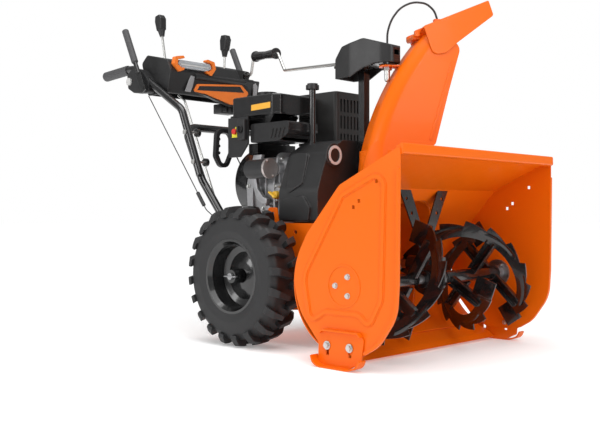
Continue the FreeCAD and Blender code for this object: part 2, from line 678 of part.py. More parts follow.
def crank_bracket():
    """Bent strap on the dash top that the rod's end turns in."""
    start, end = crank_ends()
    along = (end - start).normalize()
    eye = rod(end - along * 8, end + along * 2, 12)
    foot = box(-480, -442, 120, 178, 866, 869)
    stem = box(-456, -446, 140, 160, 868, 880)
    return cut(fuse(eye, foot, stem), rod(start, end + along * 40, 5 + RUNNING))


def deflector_cable():
    """Black cable that loops from the gear head over to the deflector."""
    points = [V(CHUTE_X, 0, 871), V(CHUTE_X, 0, 905)]
    outward = V(math.cos(math.radians(CHUTE_TURN)), math.sin(math.radians(CHUTE_TURN)), 0)
    for s, z in ((12, 943), (38, 978), (76, 996), (116, 993), (140, 972), (148, 948.5)):
        points.append(V(CHUTE_X, 0, z) + outward * s)
    return cable(points, 3)


# ---- tractor ----
FRAME_SIDE = [(-182, 130, 20), (-182, 250, 20), (-120, 330, 20), (-60, 356, 6), (0, 356, 10),
              (6, 402, 10), (44, 402, 10), (52, 356, 10), (213, 356, 0), (213, 112, 30),
              (60, 100, 30), (-140, 100, 30)]
AXLE_Z = TYRE_R
HEX_X = -62.0
HEX_Z = AXLE_Z + math.sqrt((TRACTION_MODULE * (HEX_TEETH + AXLE_TEETH) / 2) ** 2 - HEX_X ** 2)


def tractor_frame():
    """Folded box under the engine: two sides, a floor, a deck and end walls."""
    side = slab("xz", FRAME_SIDE, -176, -173)
    holes = [rod(V(x, -180, z), V(x, -170, z), r) for x, z, r in
             ((26, 384, 5), (120, 330, 6), (165, 250, 9), (110, 150, 12), (-100, 160, 9))]
    axle = rod(V(0, -190, AXLE_Z), V(0, -160, AXLE_Z), 9.5 + RUNNING)
    boss = rod(V(0, -184, AXLE_Z), V(0, -166, AXLE_Z), 20)
    hexes = rod(V(HEX_X, -190, HEX_Z), V(HEX_X, -150, HEX_Z), 7 + RUNNING)
    hex_boss = rod(V(HEX_X, -173, HEX_Z), V(HEX_X, -160, HEX_Z), 16)
    wall = cut(fuse(side, boss, hex_boss), axle, hexes, *holes)
    floor = box(-140, 60, -173, 173, 100, 103)
    front = cut(box(207, 210, -173, 173, 140, 352),
                rod(V(200, 0, IMPELLER_Z), V(215, 0, IMPELLER_Z), 60),
                rod(V(200, -120, 300), V(215, -120, 300), 7 + RUNNING))
    deck = box(-60, 100, -173, 173, 352, 355)
    back = box(-182, -179, -173, 173, 150, 235)
    return fuse(wall, mirrored(wall), floor, front, deck, back)


def axle():
    """Wheel axle with its large gear, and the pins that lock the wheel hubs to it."""
    shaft = rod(V(0, -324, AXLE_Z), V(0, 324, AXLE_Z), 9.5)
    gear = spur_teeth(V(0, 0, AXLE_Z), 120, 130, AXLE_TEETH, TRACTION_MODULE, 2.7)
    web_holes = [turned(rod(V(0, 110, AXLE_Z + 50), V(0, 140, AXLE_Z + 50), 15),
                        V(0, 0, AXLE_Z), Y, 60 * k) for k in range(6)]
    hub = rod(V(0, 112, AXLE_Z), V(0, 138, AXLE_Z), 20)
    return fuse(cut(gear, *web_holes), hub, shaft, hub_pins())


def hub_pins():
    """Spring clips through the hubs and the axle's ends."""
    y = -312
    pin = rod(V(-20, y, AXLE_Z), V(20, y, AXLE_Z), 3)
    bow = swept([(V(-20, y, AXLE_Z), 0), (V(-26, y - 14, AXLE_Z), 5), (V(26, y - 14, AXLE_Z), 5),
                 (V(20, y, AXLE_Z), 0)], 1.8)
    return both_sides(fuse(pin, bow))


def rims():
    """Dished steel wheels with a hub tube."""
    outer_y, inner_y = -TYRE_INNER_Y - TYRE_WIDTH + 8, -TYRE_INNER_Y - 8
    points = [(inner_y, 100), (inner_y, 108), (inner_y - 5, 108), (inner_y - 8, 98),
              (outer_y + 8, 98), (outer_y + 5, 108), (outer_y, 108), (outer_y, 101),
              (outer_y + 12, 92), (-268, 88), (-262, 70), (-272, 40), (-276, 21),
              (-318, 19), (-318, 9.6), (-228, 9.6), (-228, 19), (-266, 21), (-262, 40),
              (-254, 70), (-258, 92), (-224, 92)]
    corners = [V(0, y, AXLE_Z + r) for y, r in points]
    face = Part.Face(Part.makePolygon(corners + [corners[0]]))
    wheel = face.revolve(V(0, 0, AXLE_Z), Y, 360)
    valve = rod(V(58, -258, AXLE_Z + 52), V(62, -300, AXLE_Z + 55), 4)
    wheel = cut(fuse(wheel, valve), hub_pins(), axle_shaft_tool())
    return both_sides(wheel)


def axle_shaft_tool():
    """The axle with its running clearance."""
    return rod(V(0, -400, AXLE_Z), V(0, 400, AXLE_Z), 9.55)


def tyres():
    """Pneumatic tyres with deep directional lugs."""
    middle = -TYRE_INNER_Y - TYRE_WIDTH / 2
    half = TYRE_WIDTH / 2
    carcass_r = TYRE_R - 17
    section = [(-half + 8, 109, 3), (-half + 2, 130, 20), (-half + 6, 166, 20),
               (-half + 20, carcass_r - 3, 14), (half - 20, carcass_r - 3, 14),
               (half - 6, 166, 20), (half - 2, 130, 20), (half - 8, 109, 3), (half - 15, 98.3, 2),
               (-half + 15, 98.3, 2)]
    corners = [(V(0, middle + a, AXLE_Z + r), radius) for a, r, radius in section]
    carcass = Part.Face(rounded_wire(corners)).revolve(V(0, 0, AXLE_Z), Y, 360)
    lugs = []
    count = 20
    bottom, top = AXLE_Z + carcass_r - 16, AXLE_Z + TYRE_R
    for k in range(count):
        for hand, phase in ((1, 0.0), (-1, 0.5)):
            plan = [(-6, hand * (half - 1)), (16, hand * (half - 1)), (24, hand * 24),
                    (30, hand * 4), (16, hand * 2), (8, hand * 20)]
            corners = [V(x, middle + y, bottom) for x, y in plan]
            lug = Part.Face(Part.makePolygon(corners + [corners[0]])).extrude(V(0, 0, top - bottom))
            lugs.append(turned(lug, V(0, 0, AXLE_Z), Y, 360.0 * (k + phase) / count))
    envelope = tyre_envelope(middle, half)
    tread = Part.makeCompound(lugs).common(envelope)
    tyre = carcass.multiFuse(tread.Solids)
    tyre = cut(tyre, rims_tool(middle, half))
    return both_sides(tyre)


def tyre_envelope(middle, half):
    """The lugs' outer limit: a slightly crowned tread with rounded shoulders."""
    section = [(-half, 150, 0), (-half, TYRE_R - 24, 16), (-half + 16, TYRE_R - 3, 12),
               (-18, TYRE_R, 30), (18, TYRE_R, 30), (half - 16, TYRE_R - 3, 12), (half, TYRE_R - 24, 16),
               (half, 150, 0)]
    corners = [(V(0, middle + a, AXLE_Z + r), radius) for a, r, radius in section]
    return Part.Face(rounded_wire(corners)).revolve(V(0, 0, AXLE_Z), Y, 360)


def rims_tool(middle, half):
    """The rim's outer surface, which the tyre's beads sit on."""
    points = [(-half + 8, 90), (-half + 8, 108.05), (-half + 13, 108.05), (-half + 16, 98.05),
              (half - 16, 98.05), (half - 13, 108.05), (half - 8, 108.05), (half - 8, 90)]
    corners = [V(0, middle + y, AXLE_Z + r) for y, r in points]
    face = Part.Face(Part.makePolygon(corners + [corners[0]]))
    return face.revolve(V(0, 0, AXLE_Z), Y, 360)


def drive_plate():
    """Disc driven by the engine, its shaft and the small belt pulley in front."""
    z = V(0, 0, HEX_Z)
    disc = rod(V(-10, 0, 0) + z, V(-4, 0, 0) + z, 62)
    shaft = rod(V(-4, 0, 0) + z, V(128, 0, 0) + z, 8)
    hub = rod(V(-4, 0, 0) + z, V(16, 0, 0) + z, 22)
    pulley = v_pulley(120, HEX_Z, 48, 14, 7)
    return fuse(disc, shaft, hub, pulley)


def friction_wheel():
    """Rubber-edged wheel that slides across the drive plate to set the speed."""
    centre = V(HEX_X, 0, HEX_Z)
    tyre = ring(centre - Y * 7, centre + Y * 7, 48, 30)
    hub = rod(centre - Y * 16, centre + Y * 16, 31)
    return cut(fuse(tyre, hub), rod(centre - Y * 20, centre + Y * 20, 7 + RUNNING))


def hex_shaft():
    """Cross shaft under the engine with the pinion that meshes with the axle gear."""
    centre = V(HEX_X, 0, HEX_Z)
    shaft = rod(centre - Y * 175, centre + Y * 175, 7)
    pinion = spur_teeth(centre, 118, 132, HEX_TEETH, TRACTION_MODULE, 2.7)
    towards_axle = math.degrees(math.atan2(HEX_Z - AXLE_Z, HEX_X))
    contact = 90 - towards_axle
    gear_pitch = 360.0 / AXLE_TEETH
    gear_phase = (contact % gear_pitch) / gear_pitch
    pinion_pitch = 360.0 / HEX_TEETH
    toward_gear = (contact + 180) % pinion_pitch / pinion_pitch
    turn = (toward_gear + gear_phase + 0.5) * pinion_pitch
    return fuse(shaft, turned(pinion, centre, Y, turn))


# ---- engine ----
def crankshaft():
    """Crankshaft with the flywheel behind and the two belt pulleys in front."""
    z = V(0, 0, CRANK_Z)
    shaft = rod(V(-200, 0, 0) + z, V(172, 0, 0) + z, 12.5)
    flywheel = rod(V(-190, 0, 0) + z, V(-168, 0, 0) + z, 80)
    fins = []
    for k in range(14):
        fin = box(-204, -190, -2, 2, 50, 78)
        fins.append(shifted(turned(fin, V(0, 0, 0), X, 360.0 * k / 14), z))
    hub = rod(V(104, 0, 0) + z, V(170, 0, 0) + z, 18)
    drive = v_pulley(120, CRANK_Z, 36, 14, 12)
    auger = v_pulley(158, CRANK_Z, 42, 20, 12)
    throw = rod(V(-90, 0, -14) + z, V(-60, 0, -14) + z, 26)
    return fuse(shaft, flywheel, hub, drive, auger, throw, *fins)


def belt_loop(x_middle, low_z, low_r, high_z, high_r, width, thick):
    """A belt lying in the grooves of two pulleys one above the other."""
    distance = high_z - low_z
    lean = math.asin((low_r - high_r) / distance)

    def outline(grow):
        low, high = low_r + grow, high_r + grow
        c, s = math.cos(lean), math.sin(lean)
        edges = []
        for side in (1, -1):
            edges.append(Part.makeLine(V(x_middle, side * low * c, low_z + low * s),
                                       V(x_middle, side * high * c, high_z + high * s)))
        edges.append(Part.Arc(V(x_middle, low * c, low_z + low * s), V(x_middle, 0, low_z - low),
                              V(x_middle, -low * c, low_z + low * s)).toShape())
        edges.append(Part.Arc(V(x_middle, high * c, high_z + high * s),
                              V(x_middle, 0, high_z + high),
                              V(x_middle, -high * c, high_z + high * s)).toShape())
        return Part.Face(Part.Wire(Part.__sortEdges__(edges)))

    band = outline(thick).cut(outline(0)).extrude(V(width, 0, 0))
    return shifted(band, V(-width / 2, 0, 0))


def belts():
    """The auger belt, slack at rest, and the drive belt behind it."""
    return Part.makeCompound([belt_loop(158, IMPELLER_Z, 96.5, CRANK_Z, 33.5, 8, 6),
                              belt_loop(120, HEX_Z, 39.5, CRANK_Z, 27.5, 5, 5)])


def idler_arm():
    """Arm with the idler that the auger clutch lever presses on the belt."""
    arm = slab("yz", [(-132, 288, 9), (-108, 288, 9), (-100, 412, 9), (-124, 412, 9)], 178, 182)
    idler = rod(V(149, -112, 400), V(167, -112, 400), 24)
    pin = rod(V(160, -112, 400), V(184, -112, 400), 6)
    stub = rod(V(175, -120, 300), V(211, -120, 300), 7)
    return fuse(arm, idler, pin, stub)


def engine_block():
    """Cast crankcase and the finned cylinder leaning to the left."""
    case = slab("yz", [(-104, 362, 8), (-112, 470, 30), (-92, 560, 30), (60, 560, 20),
                       (104, 470, 30), (104, 362, 8)], -160, 62)
    foot = box(-150, 60, -120, 120, 355.5, 368)
    cover = rod(V(62, 0, CRANK_Z), V(74, 0, CRANK_Z), 92)
    hollow = fuse(box(-110, -40, -60, 60, 420, 530),
                  rod(V(-170, 0, CRANK_Z), V(90, 0, CRANK_Z), 12.5 + RUNNING))
    barrel = []
    for k in range(9):
        height = 30 + 11 * k
        barrel.append(box(-120, 30, -58, 58, height, height + 4))
    barrel.append(rod(V(-45, 0, 20), V(-45, 0, 128), 44))
    barrel.append(soft_box(-100, 10, -50, 50, 122, 168, 6))
    cylinder = Part.makeCompound(barrel)
    tilted = [shifted(turned(s, V(0, 0, 0), X, -62), V(0, 30, 480)) for s in cylinder.Solids]
    boss = rod(V(-20, -121, 520), V(-20, -90, 520), 20)
    ribs = [box(x, x + 5, -117, -104, 380, 520) for x in (-130, -70, -10, 45)]
    flange = slab("yz", [(-118, 372, 6), (-124, 470, 30), (-104, 572, 24), (30, 572, 10),
                         (30, 362, 0), (-118, 362, 0)], -30, -22)
    block = fuse(case, foot, cover, boss, flange, *ribs, *tilted)
    return cut(block, hollow)


def blower_housing():
    """Black shroud with the recoil starter, over the flywheel."""
    z = V(0, 0, CRANK_Z)
    drum = rod(V(-214, 0, 0) + z, V(-162, 0, 0) + z, 112)
    cap = Part.makeCone(96, 74, 16, V(-214, 0, CRANK_Z), V(-1, 0, 0))
    hub = rod(V(-238, 0, 0) + z, V(-229, 0, 0) + z, 38)
    scroll = box(-206, -164, -60, 112, CRANK_Z, CRANK_Z + 128)
    hollow = rod(V(-210, 0, 0) + z, V(-164.9, 0, 0) + z, 106)
    shroud = cut(fuse(drum, cap, hub, scroll), hollow, rod(V(-240, 0, 0) + z, V(-150, 0, 0) + z, 13))
    slots = []
    for k in range(24):
        slot = box(-232, -205, -3.5, 3.5, 76, 92)
        slots.append(shifted(turned(slot, V(0, 0, 0), X, 15 * k), z))
    return cut(shroud, *slots, engine_block())


def starter_motor():
    """Electric starter beside the crankcase, with a bright end cap."""
    body = rod(V(-96, -155, 520), V(-14, -155, 520), 29)
    cap = rod(V(-14, -155, 520), V(-6, -155, 520), 31)
    mount = box(-92, -60, -155, -124.5, 500, 540)
    screws = [rod(V(-6, -155 + y, 520 + z), V(-3, -155 + y, 520 + z), 4) for y, z in
              ((-12, 22), (12, -22))]
    return fuse(body, cap, mount, *screws)


def fuel_tank():
    """Steel tank with a folded lip, over the engine's right half."""
    plan = [(-190, -150, 14), (-4, -150, 4), (14, -132, 4), (14, 18, 14), (-190, 18, 14)]
    body = slab("xy", plan, 690, 748)
    body = body.makeFillet(6, [e for e in body.Edges if e.BoundBox.ZMin > 747])
    lip = slab("xy", [(-197, -156, 16), (0, -156, 6), (20, -136, 6), (20, 24, 16),
                      (-197, 24, 16)], 685, 690)
    sump = slab("xz", [(-170, 685), (-150, 645, 10), (-60, 645, 10), (-30, 685)], -120, -10)
    neck = rod(V(-120, -60, 748), V(-120, -60, 756), 22)
    tank = fuse(body, lip, sump, neck)
    inside = box(-184, -16, -144, 12, 694, 742)
    return cut(tank, inside, rod(V(-120, -60, 700), V(-120, -60, 760), 16))


def fuel_cap():
    """Ribbed screw cap over the tank's neck."""
    cap = rod(V(-120, -60, 750), V(-120, -60, 768), 31)
    grips = [turned(rod(V(-120, -60 - 31, 751), V(-120, -60 - 31, 767), 2.4), V(-120, -60, 0), Z,
                    30 * k) for k in range(12)]
    inside = rod(V(-120, -60, 749), V(-120, -60, 763), 22.6)
    plug = rod(V(-120, -60, 750), V(-120, -60, 764), 15.5)
    return fuse(cut(fuse(cap, *grips), inside), plug)


def muffler():
    """Welded exhaust box on the engine's left side, with its outlet pipe."""
    shell = soft_box(-60, 80, 46, 150, 585, 742, 14)
    outlet = ring(V(20, 150, 610), V(20, 176, 604), 13, 10)
    port = rod(V(-30, 60, 560), V(-30, 60, 592), 14)
    return cut(fuse(shell, outlet, port), engine_block())


def muffler_guard():
    """Thin cover with rows of upright slots round the muffler."""
    outer = slab("xy", [(-72, 28, 12), (96, 28, 12), (96, 168, 12), (-72, 168, 12)], 520, 762)
    inner = slab("xy", [(-70, 30, 10), (94, 30, 10), (94, 166, 10), (-70, 166, 10)], 510, 760)
    guard = outer.cut(inner)
    slots = []
    for z in (540, 592, 648, 700):
        for k in range(7):
            y = 47 + 16 * k
            slots.append(box(90, 100, y, y + 7, z, z + 40))
        for k in range(8):
            x = -55 + 18 * k
            slots.append(box(x, x + 8, 160, 175, z, z + 40))
    slots.append(rod(V(20, 160, 607), V(20, 180, 603), 16))
    notch = box(-80, 60, 20, 60, 510, 600)
    return cut(guard, *slots, notch, engine_block())


def carb_cover():
    """Heater box over the carburettor, with slanted louvres."""
    body = slab("xz", [(-100, 602, 8), (-100, 660, 8), (66, 660, 8), (66, 624, 20), (20, 602, 8)],
                -150, -24)
    louvres = []
    for k in range(4):
        louvres.append(slab("xz", [(-14 + 16 * k, 612), (-8 + 16 * k, 612), (2 + 16 * k, 640),
                                   (-4 + 16 * k, 640)], -153, -150))
    return cut(fuse(body, *louvres), fuel_tank(), box(-64, 40, -145, -30, 605, 648),
               engine_block())


def control_panel():
    """Upright panel under the tank with the switch box for choke and stop."""
    plate = slab("xz", [(-196, 560, 8), (-196, 684, 0), (-104, 684, 0), (-104, 600, 6),
                        (-140, 560, 8)], -158, -152)
    switch = soft_box(-140, -106, -172, -158, 612, 676, 3)
    bracket = box(-190, -180, -152, -40, 660, 684)
    panel = fuse(plate, switch, bracket)
    panel = panel.cut(rod(V(-160, -165, 640), V(-160, -140, 640), 4 + RUNNING))
    panel = panel.cut(rod(V(-123, -180, 644), V(-123, -150, 644), 5 + RUNNING))
    return cut(panel, fuel_tank(), box(-180, -150, -152, -140, 620, 660))


def stop_button():
    """Red push button on the panel."""
    return fuse(rod(V(-160, -168, 640), V(-160, -161, 640), 9), rod(V(-160, -161, 640),
                V(-160, -151, 640), 4))


def choke_knob():
    """Black turning knob on the switch box."""
    disc = rod(V(-123, -178, 644), V(-123, -173, 644), 11)
    grip = box(-126, -120, -186, -178, 634, 654)
    return fuse(disc, grip, rod(V(-123, -173, 644), V(-123, -154, 644), 5))


def oil_tube():
    """Filler tube that rises in front of the tank."""
    tube = swept([(V(60, -60, 540), 0), (V(84, -66, 575), 16), (V(84, -66, 757), 0)], 10)
    hollow = swept([(V(60, -60, 540), 0), (V(84, -66, 575), 16), (V(84, -66, 757), 0)], 8)
    tube = tube.cut(hollow).cut(engine_block())
    brace = cut(box(20.5, 76, -72, -60, 684, 688), rod(V(84, -66, 600), V(84, -66, 700), 9.9))
    return fuse(tube, brace).cut(fuel_tank())


def oil_cap():
    """Cap with the dipstick."""
    top = fuse(rod(V(84, -66, 757.3), V(84, -66, 770), 20), rod(V(84, -66, 770), V(84, -66, 775), 16))
    stick = fuse(rod(V(84, -66, 740), V(84, -66, 757.3), 7.8), rod(V(84, -66, 600), V(84, -66, 740), 1.5))
    return fuse(top, stick)


def belt_cover():
    """Moulded cover over the belts, with raised pads and a plain round badge seat."""
    outline = [(-170, 357.5, 10), (-170, 450, 60), (-128, 560, 40), (-60, 600, 40),
               (60, 600, 40), (120, 560, 40), (165, 450, 60), (165, 357.5, 10)]
    inner = [(-166, 340, 0), (-166, 450, 56), (-124, 558, 36), (-60, 596, 36), (60, 596, 36),
             (116, 558, 36), (161, 450, 56), (161, 340, 0)]
    shell = slab("yz", outline, 46, 202).cut(slab("yz", inner, 40, 198))
    pad = slab("xz", [(84, 440, 8), (60, 562, 12), (130, 562, 14), (138, 470, 8)], -172, -120)
    pad = pad.common(slab("yz", [(-174, 357), (-174, 452), (-133, 567), (-100, 592),
                                 (-100, 357)], 40, 200))
    low_pad = slab("xz", [(56, 364, 6), (56, 424, 8), (150, 436, 14), (178, 400, 12),
                          (172, 364, 6)], -178, -160)
    badge = rod(V(202, -104, 552), V(208, -104, 552), 34)
    badge_ring = ring(V(208, -104, 552), V(211, -104, 552), 28, 20)
    cover = fuse(shell, pad, low_pad, badge, badge_ring)
    hollow = slab("yz", inner, 40, 198)
    muffler_side = box(40, 100, 14, 220, 500, 640)
    tube_way = rod(V(84, -66, 560), V(84, -66, 640), 10.6)
    drum_way = rod(V(190, 0, IMPELLER_Z), V(230, 0, IMPELLER_Z), 130)
    return cut(cover, hollow, muffler_side, tube_way, drum_way, chute_post())


def recoil_handle():
    """D-shaped pull grip with finger bumps."""
    x = -246
    outer = slab("yz", [(-174, 566, 20), (-168, 655, 24), (-104, 655, 30), (-92, 590, 30),
                        (-120, 533, 24), (-152, 531, 24)], x - 7, x + 7)
    inner = slab("yz", [(-160, 572, 14), (-155, 643, 16), (-112, 643, 22), (-103, 592, 22),
                        (-126, 545, 14), (-147, 545, 14)], x - 8, x + 8)
    bumps = [rod(V(x - 7, -158, z), V(x + 7, -158, z), 5) for z in (578, 600, 622)]
    rope = cable([V(x, -96, 600), V(x, -76, 566), V(x + 1, -54, 534), V(x + 3, -34, 508)], 2)
    return fuse(cut(outer, inner), *bumps, rope)


# ---- handles ----
BOW_ROUTE = [(-132, 312), (-285, 490), (-375, 668)]
HANDLE_ROUTE = [(-262, 505), (-355, 722), (-620, 884), (-787, 874)]
LEVER_PIVOT = V(-530, 0, 805)
LEVER_TIP = V(-635, 0, 1015)


def handle_bow():
    """Lower U-shaped tube that rises from the frame's sides."""
    right = [V(x, -BOW_Y, z) for x, z in BOW_ROUTE]
    left = [V(x, BOW_Y, z) for x, z in reversed(BOW_ROUTE)]
    route = [(right[0], 0), (right[1], 80), (right[2], 46), (left[0], 46), (left[1], 80),
             (left[2], 0)]
    bars = swept(route, TUBE_R)
    return cut(bars, handle_bolts())


def handle_tube():
    """Bent upper tube of the right side, without its holes."""
    corners = [V(x, -HANDLE_Y, z) for x, z in HANDLE_ROUTE]
    bar = swept([(corners[0], 0), (corners[1], 50), (corners[2], 60), (corners[3], 0)], 12.5)
    return bar


def handle_bolts():
    """Bolts that join the tubes to the bow, with black knob nuts inside."""
    solids = []
    for share, z in ((-280, 548), (-322, 645)):
        head = V(share, -HANDLE_Y - 12.5, z)
        shank = fuse(rod(head, head + Y * 52, 4), rod(head - Y * 4, head, 8))
        nut = rod(head + Y * 45, head + Y * 56, 13)
        solids.append(fuse(shank, nut))
    low = fuse(rod(V(-150, -BOW_Y - TUBE_R, 334), V(-150, -170, 334), 5),
               rod(V(-150, -BOW_Y - TUBE_R - 2, 334), V(-150, -BOW_Y - TUBE_R, 334), 10))
    solids.append(low)
    return Part.makeCompound(solids + [mirrored(s) for s in solids])


def handle_fittings():
    """The bolts of the tubes and the strap on the dash that the crank turns in."""
    return Part.makeCompound(handle_bolts().Solids + [crank_bracket()])


def handle_tubes():
    """Upper tubes bolted outside the bow, bent back to the grips."""
    return both_sides(cut(handle_tube(), handle_bolts()))


def grips():
    """Rubber sleeves with closed ends."""
    front, end = V(-651, -HANDLE_Y, 882.2), V(-787, -HANDLE_Y, 874)
    along = (end - front).normalize()
    sleeve = rod(front, end + along * 4, 17)
    sleeve = sleeve.makeFillet(4, [e for e in sleeve.Edges if e.Curve.TypeId == "Part::GeomCircle"])
    return both_sides(cut(sleeve, handle_tube()))


def lever_brackets():
    """Moulded blocks on the tubes that carry the lever pivots."""
    block = slab("xz", [(-640, 862, 8), (-634, 815, 8), (-600, 797, 10), (-520, 790, 12),
                        (-512, 826, 10), (-560, 872, 8), (-606, 884, 8)], -232.5, -202)
    cap = rod(V(-626, -238, 838), V(-626, -230, 838), 13)
    return both_sides(cut(fuse(block, cap), handle_tube(), lever_pin()))


def lever_pin():
    """The clutch lever's pivot with its running clearance."""
    return rod(LEVER_PIVOT - Y * 260, LEVER_PIVOT - Y * 200, 5 + RUNNING)


def clutch_lever():
    """Right clutch lever: flat root outside the bracket, round bar and rubber sleeve."""
    along = (LEVER_TIP - LEVER_PIVOT).normalize()
    side = along.cross(Y)
    y = V(0, -1, 0)
    root = LEVER_PIVOT + y * 245
    corners = [root - along * 12 + side * 12, root - along * 12 - side * 12,
               root + along * 110 - side * 9, root + along * 110 + side * 9]
    plate = Part.Face(Part.makePolygon(corners + [corners[0]])).extrude(Y * -4)
    plate = shifted(plate, Y * 2)
    bar = rod(root + along * 60, root + along * 230, 7)
    sleeve = rod(root + along * 102, root + along * 234, 11.5)
    sleeve = sleeve.makeFillet(4, [e for e in sleeve.Edges if e.Curve.TypeId == "Part::GeomCircle"])
    pin = rod(LEVER_PIVOT + y * 206, LEVER_PIVOT + y * 249, 5)
    return fuse(plate, bar, sleeve, pin)


LEVER_SLOTS = {"speed": V(-522, -150, 858), "deflector": V(-470, 60, 850)}


def dash_console():
    """Moulded console between the handles, with slots for its levers."""
    outer = slab("xz", [(-452, 786, 10), (-436, 862, 10), (-454, 898, 12), (-565, 926, 16),
                        (-596, 900, 12), (-560, 786, 10)], -202, 202)
    inner = slab("xz", [(-460, 770), (-440, 862), (-457, 894), (-565, 922), (-591, 899),
                        (-553, 770)], -198, 198)
    surround = slab("yz", [(-106, 800, 8), (-104, 858, 12), (140, 858, 12), (172, 800, 10),
                           (120, 778, 10), (64, 762, 12), (-40, 790, 10)], -455, -440)
    rail = rod(V(-440, -96, 852), V(-440, 132, 852), 11)
    shelf = box(-503, -420, 108, 210, 866, 930)
    under_shelf = box(-506, -417, 105, 213, 863, 933)
    hollow = inner.cut(under_shelf)
    console = fuse(cut(outer, hollow), cut(fuse(surround, rail), inner)).cut(shelf)
    slots = [box(-560, -486, -156, -144, 880, 940), box(-530, -456, 54, 66, 880, 940)]
    pins = [rod(V(p.x, p.y - 20, p.z), V(p.x, p.y + 20, p.z), 4 + RUNNING)
            for p in LEVER_SLOTS.values()]
    posts = []
    for p in LEVER_SLOTS.values():
        for side in (-16, 10):
            posts.append(box(p.x - 8, p.x + 8, p.y + side, p.y + side + 6, p.z - 8, 912))
    roof = slab("xz", [(-440, 862), (-457, 894), (-565, 922), (-591, 899), (-591, 770),
                       (-440, 770)], -190, 190)
    posts = [post.common(roof) for post in posts]
    console = fuse(console, *posts)
    return cut(console, dash_trim(), headlight_lens(), *slots, *pins)


def dash_trim():
    """Orange pieces of the dash: two lamp bezels and the badge panel."""
    panel = slab("yz", [(-88, 826, 5), (-104, 800, 5), (-50, 796, 10), (60, 770, 6),
                        (118, 770, 6), (146, 818, 5), (112, 844, 6)], -440, -434)
    bezels = []
    for hand in (1, -1):
        shape = [(-90, 884, 4), (-84, 908, 6), (-52, 914, 6), (-44, 906, 3), (-74, 900, 4),
                 (-76, 882, 3), (-58, 872, 4), (-44, 876, 3), (-50, 866, 3), (-70, 858, 5)]
        corners = [(hand * a - 101.5, z, r) for a, z, r in shape]
        bezels.append(slab("yz", corners, -446, -428))
    return Part.makeCompound([panel] + bezels)


def headlight_lens():
    """Clear bar lens of the work light."""
    lens = slab("yz", [(-174, 884, 4), (-166, 899, 4), (-37, 899, 4), (-29, 884, 4),
                       (-48, 873, 4), (-155, 873, 4)], -452, -431)
    return cut(lens, dash_trim())


def dash_lever(name, knob_top):
    """A zinc lever through the dash with a faceted black knob."""
    pivot = LEVER_SLOTS[name]
    top = V(knob_top[0], pivot.y, knob_top[1])
    along = (top - pivot).normalize()
    side = along.cross(Y)
    length = (top - pivot).Length
    shaft = rod(pivot - along * 10, pivot + along * (length - 60), 4)
    pin = rod(pivot - Y * 18, pivot + Y * 18, 4)
    hub = rod(pivot - Y * 9, pivot + Y * 9, 9)
    neck = Part.makeCone(8, 13, 22, pivot + along * (length - 74), along)
    start = pivot + along * (length - 53)
    corners = [start + side * 12, start - side * 12, start + along * 38 - side * 20,
               start + along * 54 - side * 12, start + along * 54 + side * 10,
               start + along * 36 + side * 16]
    head = Part.Face(Part.makePolygon(corners + [corners[0]])).extrude(Y * 26)
    head = shifted(head, Y * -13)
    head = head.makeFillet(4, head.Edges)
    return fuse(shaft, pin, hub, neck, head)


def speed_lever():
    """Lever that sets the driving speed."""
    return dash_lever("speed", (-566, 1068))


def deflector_lever():
    """Lever that sets the chute's deflector."""
    return dash_lever("deflector", (-462, 1016))


def shift_rod():
    """Rod from the dash down to the transmission."""
    return swept([(V(-500, -120, 790), 0), (V(-470, -116, 770), 20), (V(-300, -100, 372), 20),
                  (V(-230, -96, 330), 0)], 4)


def clutch_cables():
    """Bare cables from the levers down to the frame, each with its spring."""
    knee = V(-238, -213, 396)
    wire = swept([(V(-524, -226, 780), 0), (knee, 20), (V(-172, -160, 318), 0)], 1.6)
    spring = rod(V(-278, -214.8, 450), V(-248, -213.4, 409.5), 6)
    return both_sides(fuse(wire, spring))


PARTS = {
    "auger_housing": auger_housing,
    "side_plates": lambda: both_sides(side_plate()),
    "impeller_drum": impeller_drum,
    "scraper_blade": scraper_blade,
    "skid_shoes": skid_shoes,
    "housing_bolts": housing_bolts,
    "shaft_bearings": shaft_bearings,
    "auger_shaft": auger_shaft,
    "augers": augers,
    "gearcase": gearcase,
    "impeller_shaft": impeller_shaft,
    "impeller": impeller,
    "chute": chute,
    "deflector": deflector,
    "chute_post": chute_post,
    "gear_head_cover": gear_head_cover,
    "chute_gear": chute_gear,
    "crank_pinion": crank_pinion,
    "crank_rod": crank_rod,
    "crank_grip": crank_grip,
    "deflector_cable": deflector_cable,
    "tractor_frame": tractor_frame,
    "axle": axle,
    "rims": rims,
    "tyres": tyres,
    "drive_plate": drive_plate,
    "friction_wheel": friction_wheel,
    "hex_shaft": hex_shaft,
    "crankshaft": crankshaft,
    "belts": belts,
    "idler_arm": idler_arm,
    "engine_block": engine_block,
    "blower_housing": blower_housing,
    "starter_motor": starter_motor,
    "fuel_tank": fuel_tank,
    "fuel_cap": fuel_cap,
    "muffler": muffler,
    "muffler_guard": muffler_guard,
    "carb_cover": carb_cover,
    "control_panel": control_panel,
    "stop_button": stop_button,
    "choke_knob": choke_knob,
    "oil_tube": oil_tube,
    "oil_cap": oil_cap,
    "belt_cover": belt_cover,
    "recoil_handle": recoil_handle,
    "handle_bow": handle_bow,
    "handle_tubes": handle_tubes,
    "handle_fittings": handle_fittings,
    "grips": grips,
    "lever_brackets": lever_brackets,
    "clutch_lever_right": clutch_lever,
    "clutch_lever_left": lambda: mirrored(clutch_lever()),
    "dash_console": dash_console,
    "dash_trim": dash_trim,
    "headlight_lens": headlight_lens,
    "speed_lever": speed_lever,
    "deflector_lever": deflector_lever,
    "shift_rod": shift_rod,
    "clutch_cables": clutch_cables,
}


def save(name, shape):
    """Write one piece, moved into the machine's frame."""
    shifted(shape, V(ORIGIN_SHIFT, 0, 0)).exportStep("parts/%s.step" % name)


